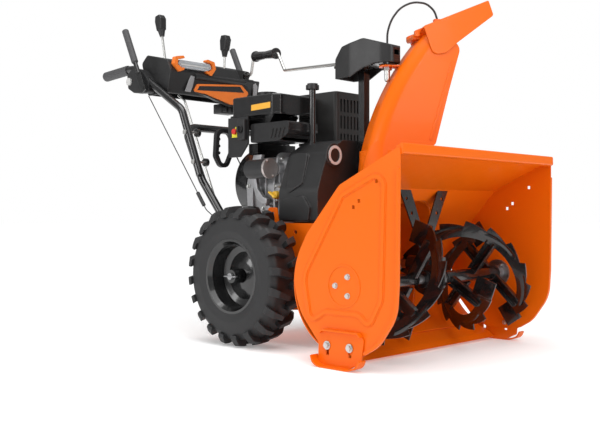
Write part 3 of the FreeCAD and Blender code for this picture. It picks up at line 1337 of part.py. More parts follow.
os.makedirs("parts", exist_ok=True)
for name, build in PARTS.items():
    save(name, build())
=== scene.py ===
import math

import bmesh
import bpy
from mathutils import Matrix, Vector


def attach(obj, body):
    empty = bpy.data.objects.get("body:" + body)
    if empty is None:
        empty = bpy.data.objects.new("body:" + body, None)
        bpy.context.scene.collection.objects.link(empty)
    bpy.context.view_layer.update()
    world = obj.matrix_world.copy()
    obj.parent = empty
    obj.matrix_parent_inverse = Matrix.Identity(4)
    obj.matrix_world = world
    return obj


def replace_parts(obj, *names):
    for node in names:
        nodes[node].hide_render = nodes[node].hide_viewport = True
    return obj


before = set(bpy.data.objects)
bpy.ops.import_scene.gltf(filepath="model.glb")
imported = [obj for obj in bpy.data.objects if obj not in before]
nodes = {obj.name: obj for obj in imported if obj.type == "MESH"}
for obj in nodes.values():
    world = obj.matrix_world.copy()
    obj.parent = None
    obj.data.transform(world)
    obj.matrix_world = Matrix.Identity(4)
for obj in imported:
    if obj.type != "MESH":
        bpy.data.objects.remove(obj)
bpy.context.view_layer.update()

# ---- Camera ----
# A level view across the machine's right front corner, from just under the height of
# the dash, with a lens a little longer than normal.
camera = bpy.data.objects.new("camera", bpy.data.cameras.new("camera"))
camera.data.lens = 52.13
camera.data.sensor_width = 36.0
camera.data.shift_y = 0.0043
camera.location = (1.9546, -1.9701, 0.3821)
camera.rotation_euler = (math.radians(90), 0, math.radians(44.2))
bpy.context.scene.collection.objects.link(camera)
bpy.context.scene.camera = camera
bpy.context.scene.view_settings.view_transform = "Standard"

# ---- Studio floor and light ----
# A plain pale floor that runs out of sight, an even white surround, and three large
# soft boxes: one over the machine, one at its right front and one along its side.
floor_mesh = bmesh.new()
bmesh.ops.create_grid(floor_mesh, x_segments=1, y_segments=1, size=30.0)
floor_data = bpy.data.meshes.new("studio_floor")
floor_mesh.to_mesh(floor_data)
floor_mesh.free()
floor = bpy.data.objects.new("studio_floor", floor_data)
floor.location = (0, 0, -0.0005)
bpy.context.scene.collection.objects.link(floor)
floor_paint = bpy.data.materials.new("studio_floor")
floor_paint.use_nodes = True
floor_paint.node_tree.nodes["Principled BSDF"].inputs["Base Color"].default_value = (0.86, 0.86, 0.86, 1)
floor_paint.node_tree.nodes["Principled BSDF"].inputs["Roughness"].default_value = 0.9
floor_paint.node_tree.nodes["Principled BSDF"].inputs["Emission Color"].default_value = (1, 1, 1, 1)
floor_paint.node_tree.nodes["Principled BSDF"].inputs["Emission Strength"].default_value = 0.25
floor_data.materials.append(floor_paint)

surround = bpy.data.worlds.new("surround")
surround.use_nodes = True
seen = surround.node_tree.nodes["Background"]
seen.inputs["Color"].default_value = (1.0, 1.0, 1.0, 1)
seen.inputs["Strength"].default_value = 1.0
lighting = surround.node_tree.nodes.new("ShaderNodeBackground")
lighting.inputs["Color"].default_value = (1.0, 1.0, 1.0, 1)
lighting.inputs["Strength"].default_value = 0.33
by_ray = surround.node_tree.nodes.new("ShaderNodeLightPath")
either = surround.node_tree.nodes.new("ShaderNodeMixShader")
surround.node_tree.links.new(by_ray.outputs["Is Camera Ray"], either.inputs[0])
surround.node_tree.links.new(lighting.outputs[0], either.inputs[1])
surround.node_tree.links.new(seen.outputs[0], either.inputs[2])
surround.node_tree.links.new(either.outputs[0], surround.node_tree.nodes["World Output"].inputs["Surface"])
bpy.context.scene.world = surround


def soft_box(name, place, target, size, power):
    """A square area light that looks at a point."""
    lamp = bpy.data.objects.new(name, bpy.data.lights.new(name, "AREA"))
    lamp.data.shape = "RECTANGLE"
    lamp.data.size, lamp.data.size_y = size
    lamp.data.energy = power
    lamp.location = place
    lamp.rotation_euler = (Vector(target) - Vector(place)).to_track_quat("-Z", "Y").to_euler()
    bpy.context.scene.collection.objects.link(lamp)


skylight = bpy.data.objects.new("skylight", bpy.data.lights.new("skylight", "SUN"))
skylight.data.energy = 1.95
skylight.data.angle = 1.1
skylight.rotation_euler = (math.radians(12), math.radians(14), 0)
bpy.context.scene.collection.objects.link(skylight)
soft_box("overhead", (0.2, -0.3, 3.0), (0.0, 0.0, 0.4), (2.0, 1.2), 15)
soft_box("front_right", (3.0, -1.2, 1.7), (0.3, 0.0, 0.5), (0.7, 1.6), 23)
soft_box("side", (-0.8, -3.2, 1.5), (-0.2, 0.0, 0.5), (2.2, 0.8), 30)

# ---- Auger housing, side plates, fan drum, chute and tractor case ----
# Pressed and welded steel sheet in bright orange baked enamel. The enamel is smooth and
# glossy, and a little thin on the folded edges.


def shader_group(name, inputs, outputs):
    """A new shader node group with named sockets, and its two ends."""
    group = bpy.data.node_groups.new(name, "ShaderNodeTree")
    for label, kind, value in inputs:
        socket = group.interface.new_socket(name=label, in_out="INPUT", socket_type=kind)
        if value is not None:
            socket.default_value = value
    for label, kind in outputs:
        group.interface.new_socket(name=label, in_out="OUTPUT", socket_type=kind)
    return group, group.nodes.new("NodeGroupInput"), group.nodes.new("NodeGroupOutput")


def calculate(tree, operation, first, second=0.0, clamp=False):
    """One math node; each input is a socket or a number."""
    node = tree.nodes.new("ShaderNodeMath")
    node.operation = operation
    node.use_clamp = clamp
    for slot, value in zip(node.inputs, (first, second)):
        if isinstance(value, (int, float)):
            slot.default_value = value
        else:
            tree.links.new(value, slot)
    return node.outputs[0]


def noise(tree, place, scale, detail=3.0, stretch=None):
    """Noise on the piece's own coordinates, stretched along an axis for a brushed look."""
    if stretch:
        mapping = tree.nodes.new("ShaderNodeMapping")
        mapping.inputs["Scale"].default_value = stretch
        tree.links.new(place, mapping.inputs["Vector"])
        place = mapping.outputs["Vector"]
    node = tree.nodes.new("ShaderNodeTexNoise")
    node.inputs["Detail"].default_value = detail
    tree.links.new(place, node.inputs["Vector"])
    if isinstance(scale, (int, float)):
        node.inputs["Scale"].default_value = scale
    else:
        tree.links.new(scale, node.inputs["Scale"])
    return node.outputs["Fac"]


edge_wear, ends_in, ends_out = shader_group(
    "edge_wear",
    [("Place", "NodeSocketVector", None), ("Radius", "NodeSocketFloat", 0.0012),
     ("Amount", "NodeSocketFloat", 0.5), ("Scale", "NodeSocketFloat", 60.0)],
    [("Mask", "NodeSocketFloat"), ("Normal", "NodeSocketVector")])
softened = edge_wear.nodes.new("ShaderNodeBevel")
softened.samples = 4
edge_wear.links.new(ends_in.outputs["Radius"], softened.inputs["Radius"])
surface = edge_wear.nodes.new("ShaderNodeNewGeometry")
agreement = edge_wear.nodes.new("ShaderNodeVectorMath")
agreement.operation = "DOT_PRODUCT"
edge_wear.links.new(softened.outputs[0], agreement.inputs[0])
edge_wear.links.new(surface.outputs["True Normal"], agreement.inputs[1])
turned_away = calculate(edge_wear, "SUBTRACT", 1.0, agreement.outputs["Value"])
near_edge = calculate(edge_wear, "MULTIPLY", turned_away, 7.0, clamp=True)
patches = noise(edge_wear, ends_in.outputs["Place"], ends_in.outputs["Scale"], 4.0)
patches = calculate(edge_wear, "SUBTRACT", patches, 0.42)
patches = calculate(edge_wear, "MULTIPLY", patches, 6.0, clamp=True)
worn = calculate(edge_wear, "MULTIPLY", near_edge, patches)
worn = calculate(edge_wear, "MULTIPLY", worn, ends_in.outputs["Amount"], clamp=True)
edge_wear.links.new(worn, ends_out.inputs["Mask"])
edge_wear.links.new(softened.outputs[0], ends_out.inputs["Normal"])

settled_dust, ends_in, ends_out = shader_group(
    "settled_dust",
    [("Place", "NodeSocketVector", None), ("Amount", "NodeSocketFloat", 0.1),
     ("Scale", "NodeSocketFloat", 9.0)],
    [("Mask", "NodeSocketFloat")])
surface = settled_dust.nodes.new("ShaderNodeNewGeometry")
split = settled_dust.nodes.new("ShaderNodeSeparateXYZ")
settled_dust.links.new(surface.outputs["Normal"], split.inputs[0])
facing_up = calculate(settled_dust, "MULTIPLY", split.outputs["Z"], 0.7, clamp=True)
facing_up = calculate(settled_dust, "ADD", facing_up, 0.3)
cloud = noise(settled_dust, ends_in.outputs["Place"], ends_in.outputs["Scale"], 6.0)
cloud = calculate(settled_dust, "MULTIPLY", cloud, facing_up)
cloud = calculate(settled_dust, "MULTIPLY", cloud, ends_in.outputs["Amount"], clamp=True)
settled_dust.links.new(cloud, ends_out.inputs["Mask"])

surface_grain, ends_in, ends_out = shader_group(
    "surface_grain",
    [("Place", "NodeSocketVector", None), ("Scale", "NodeSocketFloat", 900.0),
     ("Coarse scale", "NodeSocketFloat", 40.0), ("Coarse share", "NodeSocketFloat", 0.3)],
    [("Height", "NodeSocketFloat"), ("Tone", "NodeSocketFloat")])
fine = noise(surface_grain, ends_in.outputs["Place"], ends_in.outputs["Scale"], 2.0)
coarse = noise(surface_grain, ends_in.outputs["Place"], ends_in.outputs["Coarse scale"], 4.0)
shared = calculate(surface_grain, "MULTIPLY", coarse, ends_in.outputs["Coarse share"])
surface_grain.links.new(calculate(surface_grain, "ADD", fine, shared), ends_out.inputs["Height"])
surface_grain.links.new(coarse, ends_out.inputs["Tone"])


def finish(name, colour, rough, worn_colour, wear=0.4, dust=0.1, grain=900.0, coarse=40.0,
           bump=0.1, tone=0.12, rough_spread=0.08, edge=0.0012, stretch=None, **fixed):
    """A procedural material: tone variation, grain, worn edges and settled dust."""
    material = bpy.data.materials.new(name)
    material.use_nodes = True
    tree = material.node_tree
    shader = tree.nodes["Principled BSDF"]
    place = tree.nodes.new("ShaderNodeTexCoord").outputs["Object"]
    if stretch:
        mapping = tree.nodes.new("ShaderNodeMapping")
        mapping.inputs["Scale"].default_value = stretch
        tree.links.new(place, mapping.inputs["Vector"])
        place = mapping.outputs["Vector"]

    def placed(group, values):
        node = tree.nodes.new("ShaderNodeGroup")
        node.node_tree = group
        tree.links.new(place, node.inputs["Place"])
        for label, value in values.items():
            node.inputs[label].default_value = value
        return node

    def blended(mode, share, below, above):
        mix = tree.nodes.new("ShaderNodeMix")
        mix.data_type = "RGBA"
        mix.blend_type = mode
        for socket, value in ((mix.inputs[0], share), (mix.inputs[6], below), (mix.inputs[7], above)):
            if isinstance(value, (float, tuple)):
                socket.default_value = value
            else:
                tree.links.new(value, socket)
        return mix.outputs[2]

    edges = placed(edge_wear, {"Radius": edge, "Amount": wear})
    texture = placed(surface_grain, {"Scale": grain, "Coarse scale": coarse})
    dusty = placed(settled_dust, {"Amount": dust})
    darker = tuple(c * (1 - tone * 1.6) for c in colour) + (1,)
    lighter = tuple(min(1.0, c * (1 + tone)) for c in colour) + (1,)
    base = blended("MIX", texture.outputs["Tone"], darker, lighter)
    base = blended("MIX", edges.outputs["Mask"], base, worn_colour + (1,))
    base = blended("MIX", dusty.outputs["Mask"], base, (0.62, 0.60, 0.57, 1))
    tree.links.new(base, shader.inputs["Base Color"])
    spread = calculate(tree, "MULTIPLY", texture.outputs["Tone"], rough_spread * 2)
    spread = calculate(tree, "ADD", spread, rough - rough_spread)
    spread = calculate(tree, "ADD", spread, calculate(tree, "MULTIPLY", dusty.outputs["Mask"], 0.5), True)
    tree.links.new(spread, shader.inputs["Roughness"])
    relief = tree.nodes.new("ShaderNodeBump")
    relief.inputs["Strength"].default_value = bump
    relief.inputs["Distance"].default_value = 0.0006
    tree.links.new(texture.outputs["Height"], relief.inputs["Height"])
    tree.links.new(edges.outputs["Normal"], relief.inputs["Normal"])
    tree.links.new(relief.outputs["Normal"], shader.inputs["Normal"])
    for label, value in fixed.items():
        shader.inputs[label.replace("_", " ")].default_value = value
    return material


def dressed(material, *names):
    """Puts one material on whole CAD nodes."""
    for name in names:
        nodes[name].data.materials.clear()
        nodes[name].data.materials.append(material)


orange_enamel = finish("orange_enamel", (0.84, 0.140, 0.002), 0.36, (0.90, 0.22, 0.015), wear=0.2,
                       dust=0.0, grain=900.0, bump=0.0, tone=0.0, Specular_IOR_Level=0.2,
                       Coat_Weight=0.06, Coat_Roughness=0.08)
dressed(orange_enamel, "auger_housing", "side_plates", "impeller_drum", "scraper_blade",
        "skid_shoes", "chute", "deflector", "tractor_frame")

# ---- Fan, gearcase, post, tank, handles and rims ----
# Welded and pressed steel, and the cast gearcase, all in gloss black enamel. The enamel
# shows a bright rubbed line where edges catch.
black_enamel = finish("black_enamel", (0.007, 0.007, 0.0075), 0.22, (0.16, 0.155, 0.15), wear=0.6,
                      dust=0.01, grain=600.0, bump=0.03, tone=0.2, Coat_Weight=0.5,
                      Coat_Roughness=0.06)
dressed(black_enamel, "augers", "gearcase", "impeller", "chute_post", "idler_arm", "fuel_tank",
        "oil_tube", "blower_housing", "handle_bow", "handle_tubes", "rims")


# ---- Augers ----
# Each side is a hub tube with channel-section arms that carry two ribbon flights of 4 mm
# steel. The flights are rolled with a pressed crescent rib, their outer edge is sawn into
# teeth that lean one way, and a flat paddle stands at each end.
AXLE_AHEAD = 0.071465       # the wheel axle lies this far ahead of the object's origin


def at(x, y, z):
    """A point in metres from millimetres about the wheel axle, Z from the ground."""
    return Vector((x / 1000 + AXLE_AHEAD, y / 1000, z / 1000))


AUGER_MIDDLE = at(466, 0, 204)
FLIGHT_LEAD = 0.420         # along the shaft for one turn
FLIGHT_SPAN = 216           # degrees that a flight winds through
FLIGHT_STEPS = 108
TOOTH_PITCH, TOOTH_DEPTH = 24, 0.017
INNER_R, OUTER_R = 0.112, 0.160
FLIGHT_ROOT = 0.078         # from the gearcase to the inner end of a flight
RIB_R, RIB_HALF_WIDTH, RIB_RISE = 0.137, 0.004, 0.0032
RIB_STARTS, RIB_SPAN, RIB_RAMP = (24, 92, 160), 44, 6      # degrees along the flight
TOOTH_ROOT = 0.6            # share of the flight's width below which teeth leave it alone


def flight_frame(degrees, along):
    """Axes at a place on the flight: along the shaft, outwards and round, as a matrix."""
    turn = math.radians(degrees)
    out = Vector((-math.cos(turn), 0, math.sin(turn)))
    around = Vector((math.sin(turn), 0, math.cos(turn)))
    place = Matrix((Vector((0, 1, 0)), out, around)).transposed().to_4x4()
    place.translation = AUGER_MIDDLE + Vector((0, FLIGHT_ROOT + along, 0))
    return place


def ribbon(mesh, start):
    """One flight: a radial line wound round the shaft, toothed, ribbed and made 4 mm thick."""
    before = set(mesh.verts)
    frame_here = flight_frame(start, 0)
    row = [mesh.verts.new(frame_here @ Vector((0, INNER_R + (OUTER_R - INNER_R) * share / 12, 0)))
           for share in range(13)]
    row_edges = [mesh.edges.new(pair) for pair in zip(row, row[1:])]
    bmesh.ops.spin(mesh, geom=row + row_edges, cent=AUGER_MIDDLE, axis=(0, 1, 0),
                   dvec=(0, FLIGHT_LEAD * FLIGHT_SPAN / 360 / FLIGHT_STEPS, 0),
                   angle=math.radians(FLIGHT_SPAN), steps=FLIGHT_STEPS, use_duplicate=False)
    fresh = [v for v in mesh.verts if v not in before]
    for v in fresh:
        wound = (v.co.y - AUGER_MIDDLE.y - FLIGHT_ROOT) * 360 / FLIGHT_LEAD
        spoke = Vector((v.co.x - AUGER_MIDDLE.x, 0, v.co.z - AUGER_MIDDLE.z))
        radius = spoke.length
        rib = math.exp(-((radius - RIB_R) / RIB_HALF_WIDTH) ** 2)
        for first in RIB_STARTS:
            half = RIB_SPAN / 2
            rise = min(1.0, max(0.0, (half + 2 - abs(wound - first - half)) / RIB_RAMP))
            v.co.y += RIB_RISE * rib * rise
        edge_r = OUTER_R - TOOTH_DEPTH * ((wound % TOOTH_PITCH) / TOOTH_PITCH)
        share = (radius - INNER_R) / (OUTER_R - INNER_R)
        if share > TOOTH_ROOT:
            pulled = radius + (edge_r - OUTER_R) * (share - TOOTH_ROOT) / (1 - TOOTH_ROOT)
            v.co.x = AUGER_MIDDLE.x + spoke.x * pulled / radius
            v.co.z = AUGER_MIDDLE.z + spoke.z * pulled / radius
    sheet = list({f for v in fresh for f in v.link_faces})
    bmesh.ops.recalc_face_normals(mesh, faces=sheet)
    bmesh.ops.solidify(mesh, geom=sheet, thickness=0.0036)


def block(mesh, frame_here, low, high, bevel):
    """A bevelled bar or plate between limits on a frame's axes."""
    low, high = Vector(low), Vector(high)
    size = high - low
    middle = Matrix.Translation((low + high) / 2)
    made = bmesh.ops.create_cube(mesh, size=1.0,
                                 matrix=frame_here @ middle @ Matrix.Diagonal((*size, 1)))
    edges = list({e for v in made["verts"] for e in v.link_edges})
    bmesh.ops.bevel(mesh, geom=edges, offset=bevel, segments=2, profile=0.5, affect="EDGES", material=-1)


augers_mesh = bmesh.new()
for start in (20, 200):
    ribbon(augers_mesh, start)
    for wound in (12, FLIGHT_SPAN / 2, FLIGHT_SPAN - 12):
        here = flight_frame(start + wound, FLIGHT_LEAD * wound / 360)
        block(augers_mesh, here, (-0.003, 0.016, -0.015), (0.003, 0.123, 0.015), 0.0008)
        block(augers_mesh, here, (-0.014, 0.016, -0.015), (-0.002, 0.122, -0.011), 0.0008)
        block(augers_mesh, here, (-0.014, 0.016, 0.011), (-0.002, 0.122, 0.015), 0.0008)
    block(augers_mesh, flight_frame(start, 0), (-0.002, 0.096, -0.046), (0.002, 0.158, 0.008), 0.0009)
    block(augers_mesh, flight_frame(start + FLIGHT_SPAN, FLIGHT_LEAD * FLIGHT_SPAN / 360),
          (-0.002, 0.096, -0.008), (0.002, 0.158, 0.046), 0.0009)
tube_turn = Matrix.Rotation(math.radians(90), 4, "X")
hub_middle = Matrix.Translation(AUGER_MIDDLE + Vector((0, 0.198, 0)))
hub = bmesh.ops.create_cone(augers_mesh, cap_ends=True, segments=48, radius1=0.018, radius2=0.018,
                            depth=0.260, matrix=hub_middle @ tube_turn)
hub_ends = [e for e in {e for v in hub["verts"] for e in v.link_edges} if len(e.link_faces) == 2
            and max(len(f.verts) for f in e.link_faces) > 4]
bmesh.ops.bevel(augers_mesh, geom=hub_ends, offset=0.001, segments=2, profile=0.5, affect="EDGES",
                material=-1)
other = bmesh.ops.duplicate(augers_mesh, geom=list(augers_mesh.verts) + list(augers_mesh.edges)
                            + list(augers_mesh.faces))
other_verts = [v for v in other["geom"] if isinstance(v, bmesh.types.BMVert)]
to_right = (Matrix.Translation(AUGER_MIDDLE) @ Matrix.Rotation(math.radians(90), 4, "Y")
            @ Matrix.Diagonal((1, -1, 1, 1)) @ Matrix.Translation(-AUGER_MIDDLE))
bmesh.ops.transform(augers_mesh, matrix=to_right, verts=other_verts)
bmesh.ops.recalc_face_normals(augers_mesh, faces=augers_mesh.faces)


def placed_piece(name, mesh, material, body, smooth=False):
    """Turns a bmesh into a piece that rides on a body."""
    data = bpy.data.meshes.new(name)
    mesh.to_mesh(data)
    mesh.free()
    data.materials.append(material)
    if smooth:
        data.polygons.foreach_set("use_smooth", [True] * len(data.polygons))
        data.set_sharp_from_angle(angle=math.radians(35))
    piece = bpy.data.objects.new(name, data)
    bpy.context.scene.collection.objects.link(piece)
    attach(piece, body)
    return piece


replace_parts(placed_piece("ribbon_augers", augers_mesh, black_enamel, "auger", True), "augers")

# ---- Fasteners, rods and lever shafts ----
# Steel with a bright zinc plating that dulls unevenly to a soft grey.
zinc = finish("zinc_plate", (0.62, 0.62, 0.60), 0.34, (0.78, 0.78, 0.76), wear=0.3, dust=0.02,
              grain=1200.0, coarse=40.0, bump=0.0, tone=0.05, rough_spread=0.03, Metallic=1.0)
dressed(zinc, "housing_bolts", "handle_fittings", "crank_rod", "chute_gear", "crank_pinion",
        "shift_rod", "speed_lever", "deflector_lever")

# ---- Shafts, discs and bearings ----
# Plain machined steel with a fine turned grain and a light film of oil, left bare where
# it runs in its bearings.
machined = finish("machined_steel", (0.42, 0.42, 0.43), 0.36, (0.7, 0.7, 0.7), wear=0.6, dust=0.12,
                  grain=500.0, coarse=30.0, bump=0.12, tone=0.2, Metallic=1.0)
dressed(machined, "auger_shaft", "impeller_shaft", "shaft_bearings", "drive_plate", "crankshaft",
        "axle", "hex_shaft")

# ---- Muffler and its guard ----
# Pressed and slotted steel round the muffler, in heat-proof matt black that heat has
# greyed.
heat_black = finish("heat_black", (0.014, 0.0138, 0.0135), 0.45, (0.1, 0.09, 0.08), wear=0.5, dust=0.04,
                    grain=1100.0, coarse=25.0, bump=0.2, tone=0.3)
dressed(heat_black, "muffler", "muffler_guard")

# ---- Engine castings ----
# Sand-cast aluminium, left bare, with a dull granular skin. Crankcase, cylinder and head
# are bolted together.
casting = finish("cast_aluminium", (0.42, 0.42, 0.43), 0.46, (0.72, 0.72, 0.72), wear=0.6, dust=0.06,
                 grain=420.0, coarse=50.0, bump=0.45, tone=0.16, Metallic=0.75)
dressed(casting, "engine_block")

# ---- Moulded covers, dash and caps ----
# Injection-moulded black plastic with a fine spark-eroded texture, screwed or snapped in
# place and a little greyer where handled.
moulded = finish("moulded_black", (0.013, 0.013, 0.014), 0.42, (0.075, 0.075, 0.08), wear=0.5,
                 dust=0.01, grain=1500.0, coarse=30.0, bump=0.2, tone=0.2)
dressed(moulded, "fuel_cap", "control_panel", "choke_knob", "oil_cap", "recoil_handle",
        "lever_brackets", "deflector_cable", "clutch_cables", "starter_motor")

# ---- Grips, lever sleeves, belts and friction wheel ----
# Soft grey-black rubber with a dry sheen, pushed over the steel tubes and levers, and
# bonded to the rim of the friction wheel.
rubber = finish("grey_rubber", (0.055, 0.055, 0.058), 0.58, (0.12, 0.12, 0.125), wear=0.5, dust=0.06,
                grain=1300.0, coarse=40.0, bump=0.3, tone=0.15)
dressed(rubber, "grips", "clutch_lever_right", "clutch_lever_left", "belts", "friction_wheel")

# ---- Tyres ----
# Moulded rubber with deep lugs that lean to one side, fitted on the steel rims. It is
# greyed and a little dusty between the lugs.
tyre_rubber = finish("tyre_rubber", (0.010, 0.010, 0.011), 0.58, (0.05, 0.05, 0.052), wear=0.8,
                     dust=0.03, grain=900.0, coarse=30.0, bump=0.4, tone=0.2, edge=0.002)
dressed(tyre_rubber, "tyres")

# ---- Lamp bezels, badge panel, stop button and lens ----
# Smooth coloured plastic, and a clear moulded lens over the work light.
orange_plastic = finish("orange_plastic", (0.88, 0.20, 0.02), 0.33, (0.95, 0.4, 0.2), wear=0.3,
                        dust=0.05, grain=1300.0, bump=0.05, tone=0.05)
dressed(orange_plastic, "dash_trim")
red_plastic = finish("red_plastic", (0.62, 0.02, 0.012), 0.35, (0.8, 0.2, 0.15), wear=0.3, dust=0.05,
                     grain=1300.0, bump=0.05, tone=0.06)
dressed(red_plastic, "stop_button")
lens = finish("clear_lens", (0.80, 0.84, 0.88), 0.16, (0.9, 0.9, 0.9), wear=0.2, dust=0.05,
              grain=1300.0, bump=0.03, tone=0.04, Transmission_Weight=0.55, IOR=1.49)
dressed(lens, "headlight_lens")

# ---- Two-finish pieces ----
# Some pieces leave the workshop already joined: a zinc lever with its black knob, a black
# clutch lever with its rubber sleeve, the starter with its bright end cap.


def repaint(name, material, belongs):
    """Gives a second material to those faces of a CAD node that belong to its other part."""
    data = nodes[name].data
    data.materials.append(material)
    index = len(data.materials) - 1
    for face in data.polygons:
        if belongs(face.center, face.normal):
            face.material_index = index


bright_cap = finish("bright_cap", (0.55, 0.50, 0.48), 0.34, (0.8, 0.8, 0.8), wear=0.5, dust=0.08,
                    grain=900.0, coarse=60.0, bump=0.12, tone=0.12, Metallic=0.85)
bronze = finish("bronze", (0.50, 0.28, 0.10), 0.36, (0.7, 0.5, 0.3), wear=0.4, dust=0.05,
                grain=700.0, bump=0.1, tone=0.15, Metallic=1.0)
gloss_plastic = finish("gloss_black_plastic", (0.012, 0.012, 0.013), 0.2, (0.06, 0.06, 0.06),
                       wear=0.3, dust=0.06, grain=1400.0, bump=0.04, tone=0.1, Coat_Weight=0.3)
pale_plastic = finish("pale_plastic", (0.55, 0.55, 0.54), 0.42, (0.7, 0.7, 0.7), wear=0.2,
                      dust=0.1, grain=1400.0, bump=0.1, tone=0.08)

repaint("speed_lever", moulded, lambda c, n: c.z > 0.978)
repaint("deflector_lever", moulded, lambda c, n: c.z > 0.925)
for side in ("clutch_lever_right", "clutch_lever_left"):
    repaint(side, black_enamel, lambda c, n: c.z < 0.893)
repaint("starter_motor", bright_cap, lambda c, n: c.x > at(-14.5, 0, 0).x)
repaint("auger_shaft", bronze, lambda c, n: abs(c.y) < 0.0095)
repaint("chute_gear", moulded, lambda c, n: c.z > 0.8155)
repaint("handle_fittings", black_enamel, lambda c, n: abs(c.y) < 0.186)
repaint("lever_brackets", pale_plastic, lambda c, n: abs(c.y) > 0.2335)
dressed(gloss_plastic, "crank_grip", "carb_cover")

# ---- Stickers and badges ----
# Printed foil on the tank and the control panel, left blank here. Each is a thin flat
# piece stuck on the face below it.


def plate(name, outline, thickness, normal, material, body="machine", bevel=0.0):
    """A flat piece from its outline, given thickness towards normal."""
    mesh = bmesh.new()
    face = mesh.faces.new([mesh.verts.new(p) for p in outline])
    face.normal_update()
    if face.normal.dot(Vector(normal)) > 0:
        face.normal_flip()
    grown = bmesh.ops.extrude_face_region(mesh, geom=[face])
    moved = [v for v in grown["geom"] if isinstance(v, bmesh.types.BMVert)]
    bmesh.ops.translate(mesh, verts=moved, vec=Vector(normal).normalized() * thickness)
    if bevel:
        bmesh.ops.bevel(mesh, geom=list(mesh.edges), offset=bevel, segments=2, profile=0.5,
                        affect="EDGES", material=-1)
    bmesh.ops.recalc_face_normals(mesh, faces=mesh.faces)
    return placed_piece(name, mesh, material, body)


amber_foil = finish("amber_foil", (0.85, 0.42, 0.03), 0.42, (0.9, 0.6, 0.3), wear=0.2, dust=0.08,
                    grain=1500.0, bump=0.04, tone=0.06)
yellow_foil = finish("yellow_foil", (0.80, 0.72, 0.03), 0.42, (0.9, 0.8, 0.3), wear=0.2, dust=0.08,
                     grain=1500.0, bump=0.04, tone=0.06)
plate("tank_sticker", [at(-97, -150, 701), at(-12, -150, 704), at(-12, -150, 722), at(-97, -150, 719)],
      0.0003, (0, -1, 0), amber_foil)
plate("stop_sticker", [at(-178, -158, 622), at(-148, -158, 622), at(-148, -158, 655), at(-163, -158, 655),
                       at(-163, -158, 644), at(-178, -158, 644)], 0.0003, (0, -1, 0), yellow_foil)

# ---- Belt cover ----
# Injection-moulded black cover whose pads have broad rounded edges, with a plain pale
# ring as its badge.
cover_plastic = finish("cover_plastic", (0.013, 0.013, 0.0135), 0.40, (0.07, 0.07, 0.073), wear=0.6,
                       dust=0.01, grain=1500.0, coarse=30.0, bump=0.15, tone=0.15, edge=0.005)
dressed(cover_plastic, "belt_cover", "gear_head_cover", "dash_console")
repaint("belt_cover", pale_plastic, lambda c, n: c.x > at(209, 0, 0).x)

# ---- Crankcase details ----
# Hexagon screws with washers hold the castings together, a cast arm and round bosses stand
# on the crankcase's right side, and a yellow wing plug closes the oil filler low down.


def hex_screw(mesh, place, out, across, head, washer=0.0):
    """Adds one screw head with a chamfered crown, on a round washer if it has one."""
    turn = Vector(out).to_track_quat("Z", "Y").to_matrix().to_4x4()
    if washer:
        disc = bmesh.ops.create_cone(mesh, cap_ends=True, segments=24, radius1=washer,
                                     radius2=washer, depth=0.0014,
                                     matrix=Matrix.Translation(Vector(place)) @ turn)
        bmesh.ops.translate(mesh, verts=disc["verts"], vec=Vector(out).normalized() * 0.0005)
    made = bmesh.ops.create_cone(mesh, cap_ends=True, segments=6, radius1=across * 0.577,
                                 radius2=across * 0.577, depth=head,
                                 matrix=Matrix.Translation(Vector(place)) @ turn)
    bmesh.ops.translate(mesh, verts=made["verts"], vec=Vector(out).normalized() * (head / 2 + 0.001))
    rim = list({e for v in made["verts"] for e in v.link_edges})
    bmesh.ops.bevel(mesh, geom=rim, offset=across * 0.07, segments=2, profile=0.5,
                    affect="EDGES", material=-1)


case_screws = bmesh.new()
for y, z in ((-88, 552), (-104, 510), (-112, 468), (-108, 425), (-103, 385)):
    hex_screw(case_screws, at(-21.8, y - 5, z), (1, 0, 0), 0.010, 0.006, 0.008)
for x, z in ((-150, 390), (-150, 470), (-88, 400), (-88, 520), (32, 392), (32, 500)):
    reach = -104.5 - (7.5 if z > 440 else 2.5 * (z - 362) / 40)
    hex_screw(case_screws, at(x, reach, z), (0, -1, 0), 0.010, 0.006, 0.008)
placed_piece("crankcase_screws", case_screws, zinc, "machine", True)

cast_arm = bmesh.new()
arm_outline = [at(x, -121, z) for x, z in ((-104, 566), (-66, 566), (-70, 548), (-86, 528), (-93, 500),
                                           (-86, 462), (-62, 436), (-44, 430), (-44, 412), (-66, 412),
                                           (-92, 432), (-108, 470), (-114, 505), (-112, 545))]
arm_face = cast_arm.faces.new([cast_arm.verts.new(p) for p in arm_outline])
grown = bmesh.ops.extrude_face_region(cast_arm, geom=[arm_face])
bmesh.ops.translate(cast_arm, verts=[v for v in grown["geom"] if isinstance(v, bmesh.types.BMVert)],
                    vec=(0, -0.014, 0))
bmesh.ops.bevel(cast_arm, geom=list(cast_arm.edges), offset=0.0026, segments=3, profile=0.5,
                affect="EDGES", material=-1)
bmesh.ops.recalc_face_normals(cast_arm, faces=cast_arm.faces)
placed_piece("starter_arm", cast_arm, casting, "machine", True)


def cast_stub(mesh, place, axis, foot, top, depth, bevel):
    """Adds a round casting stub along an axis, with its rims bevelled."""
    turn = Matrix.Rotation(math.radians(90), 4, axis)
    stub = bmesh.ops.create_cone(mesh, cap_ends=True, segments=32, radius1=foot, radius2=top,
                                 depth=depth, matrix=Matrix.Translation(place) @ turn)
    rims = list({e for v in stub["verts"] for e in v.link_edges})
    bmesh.ops.bevel(mesh, geom=rims, offset=bevel, segments=2, profile=0.5, affect="EDGES",
                    material=-1)


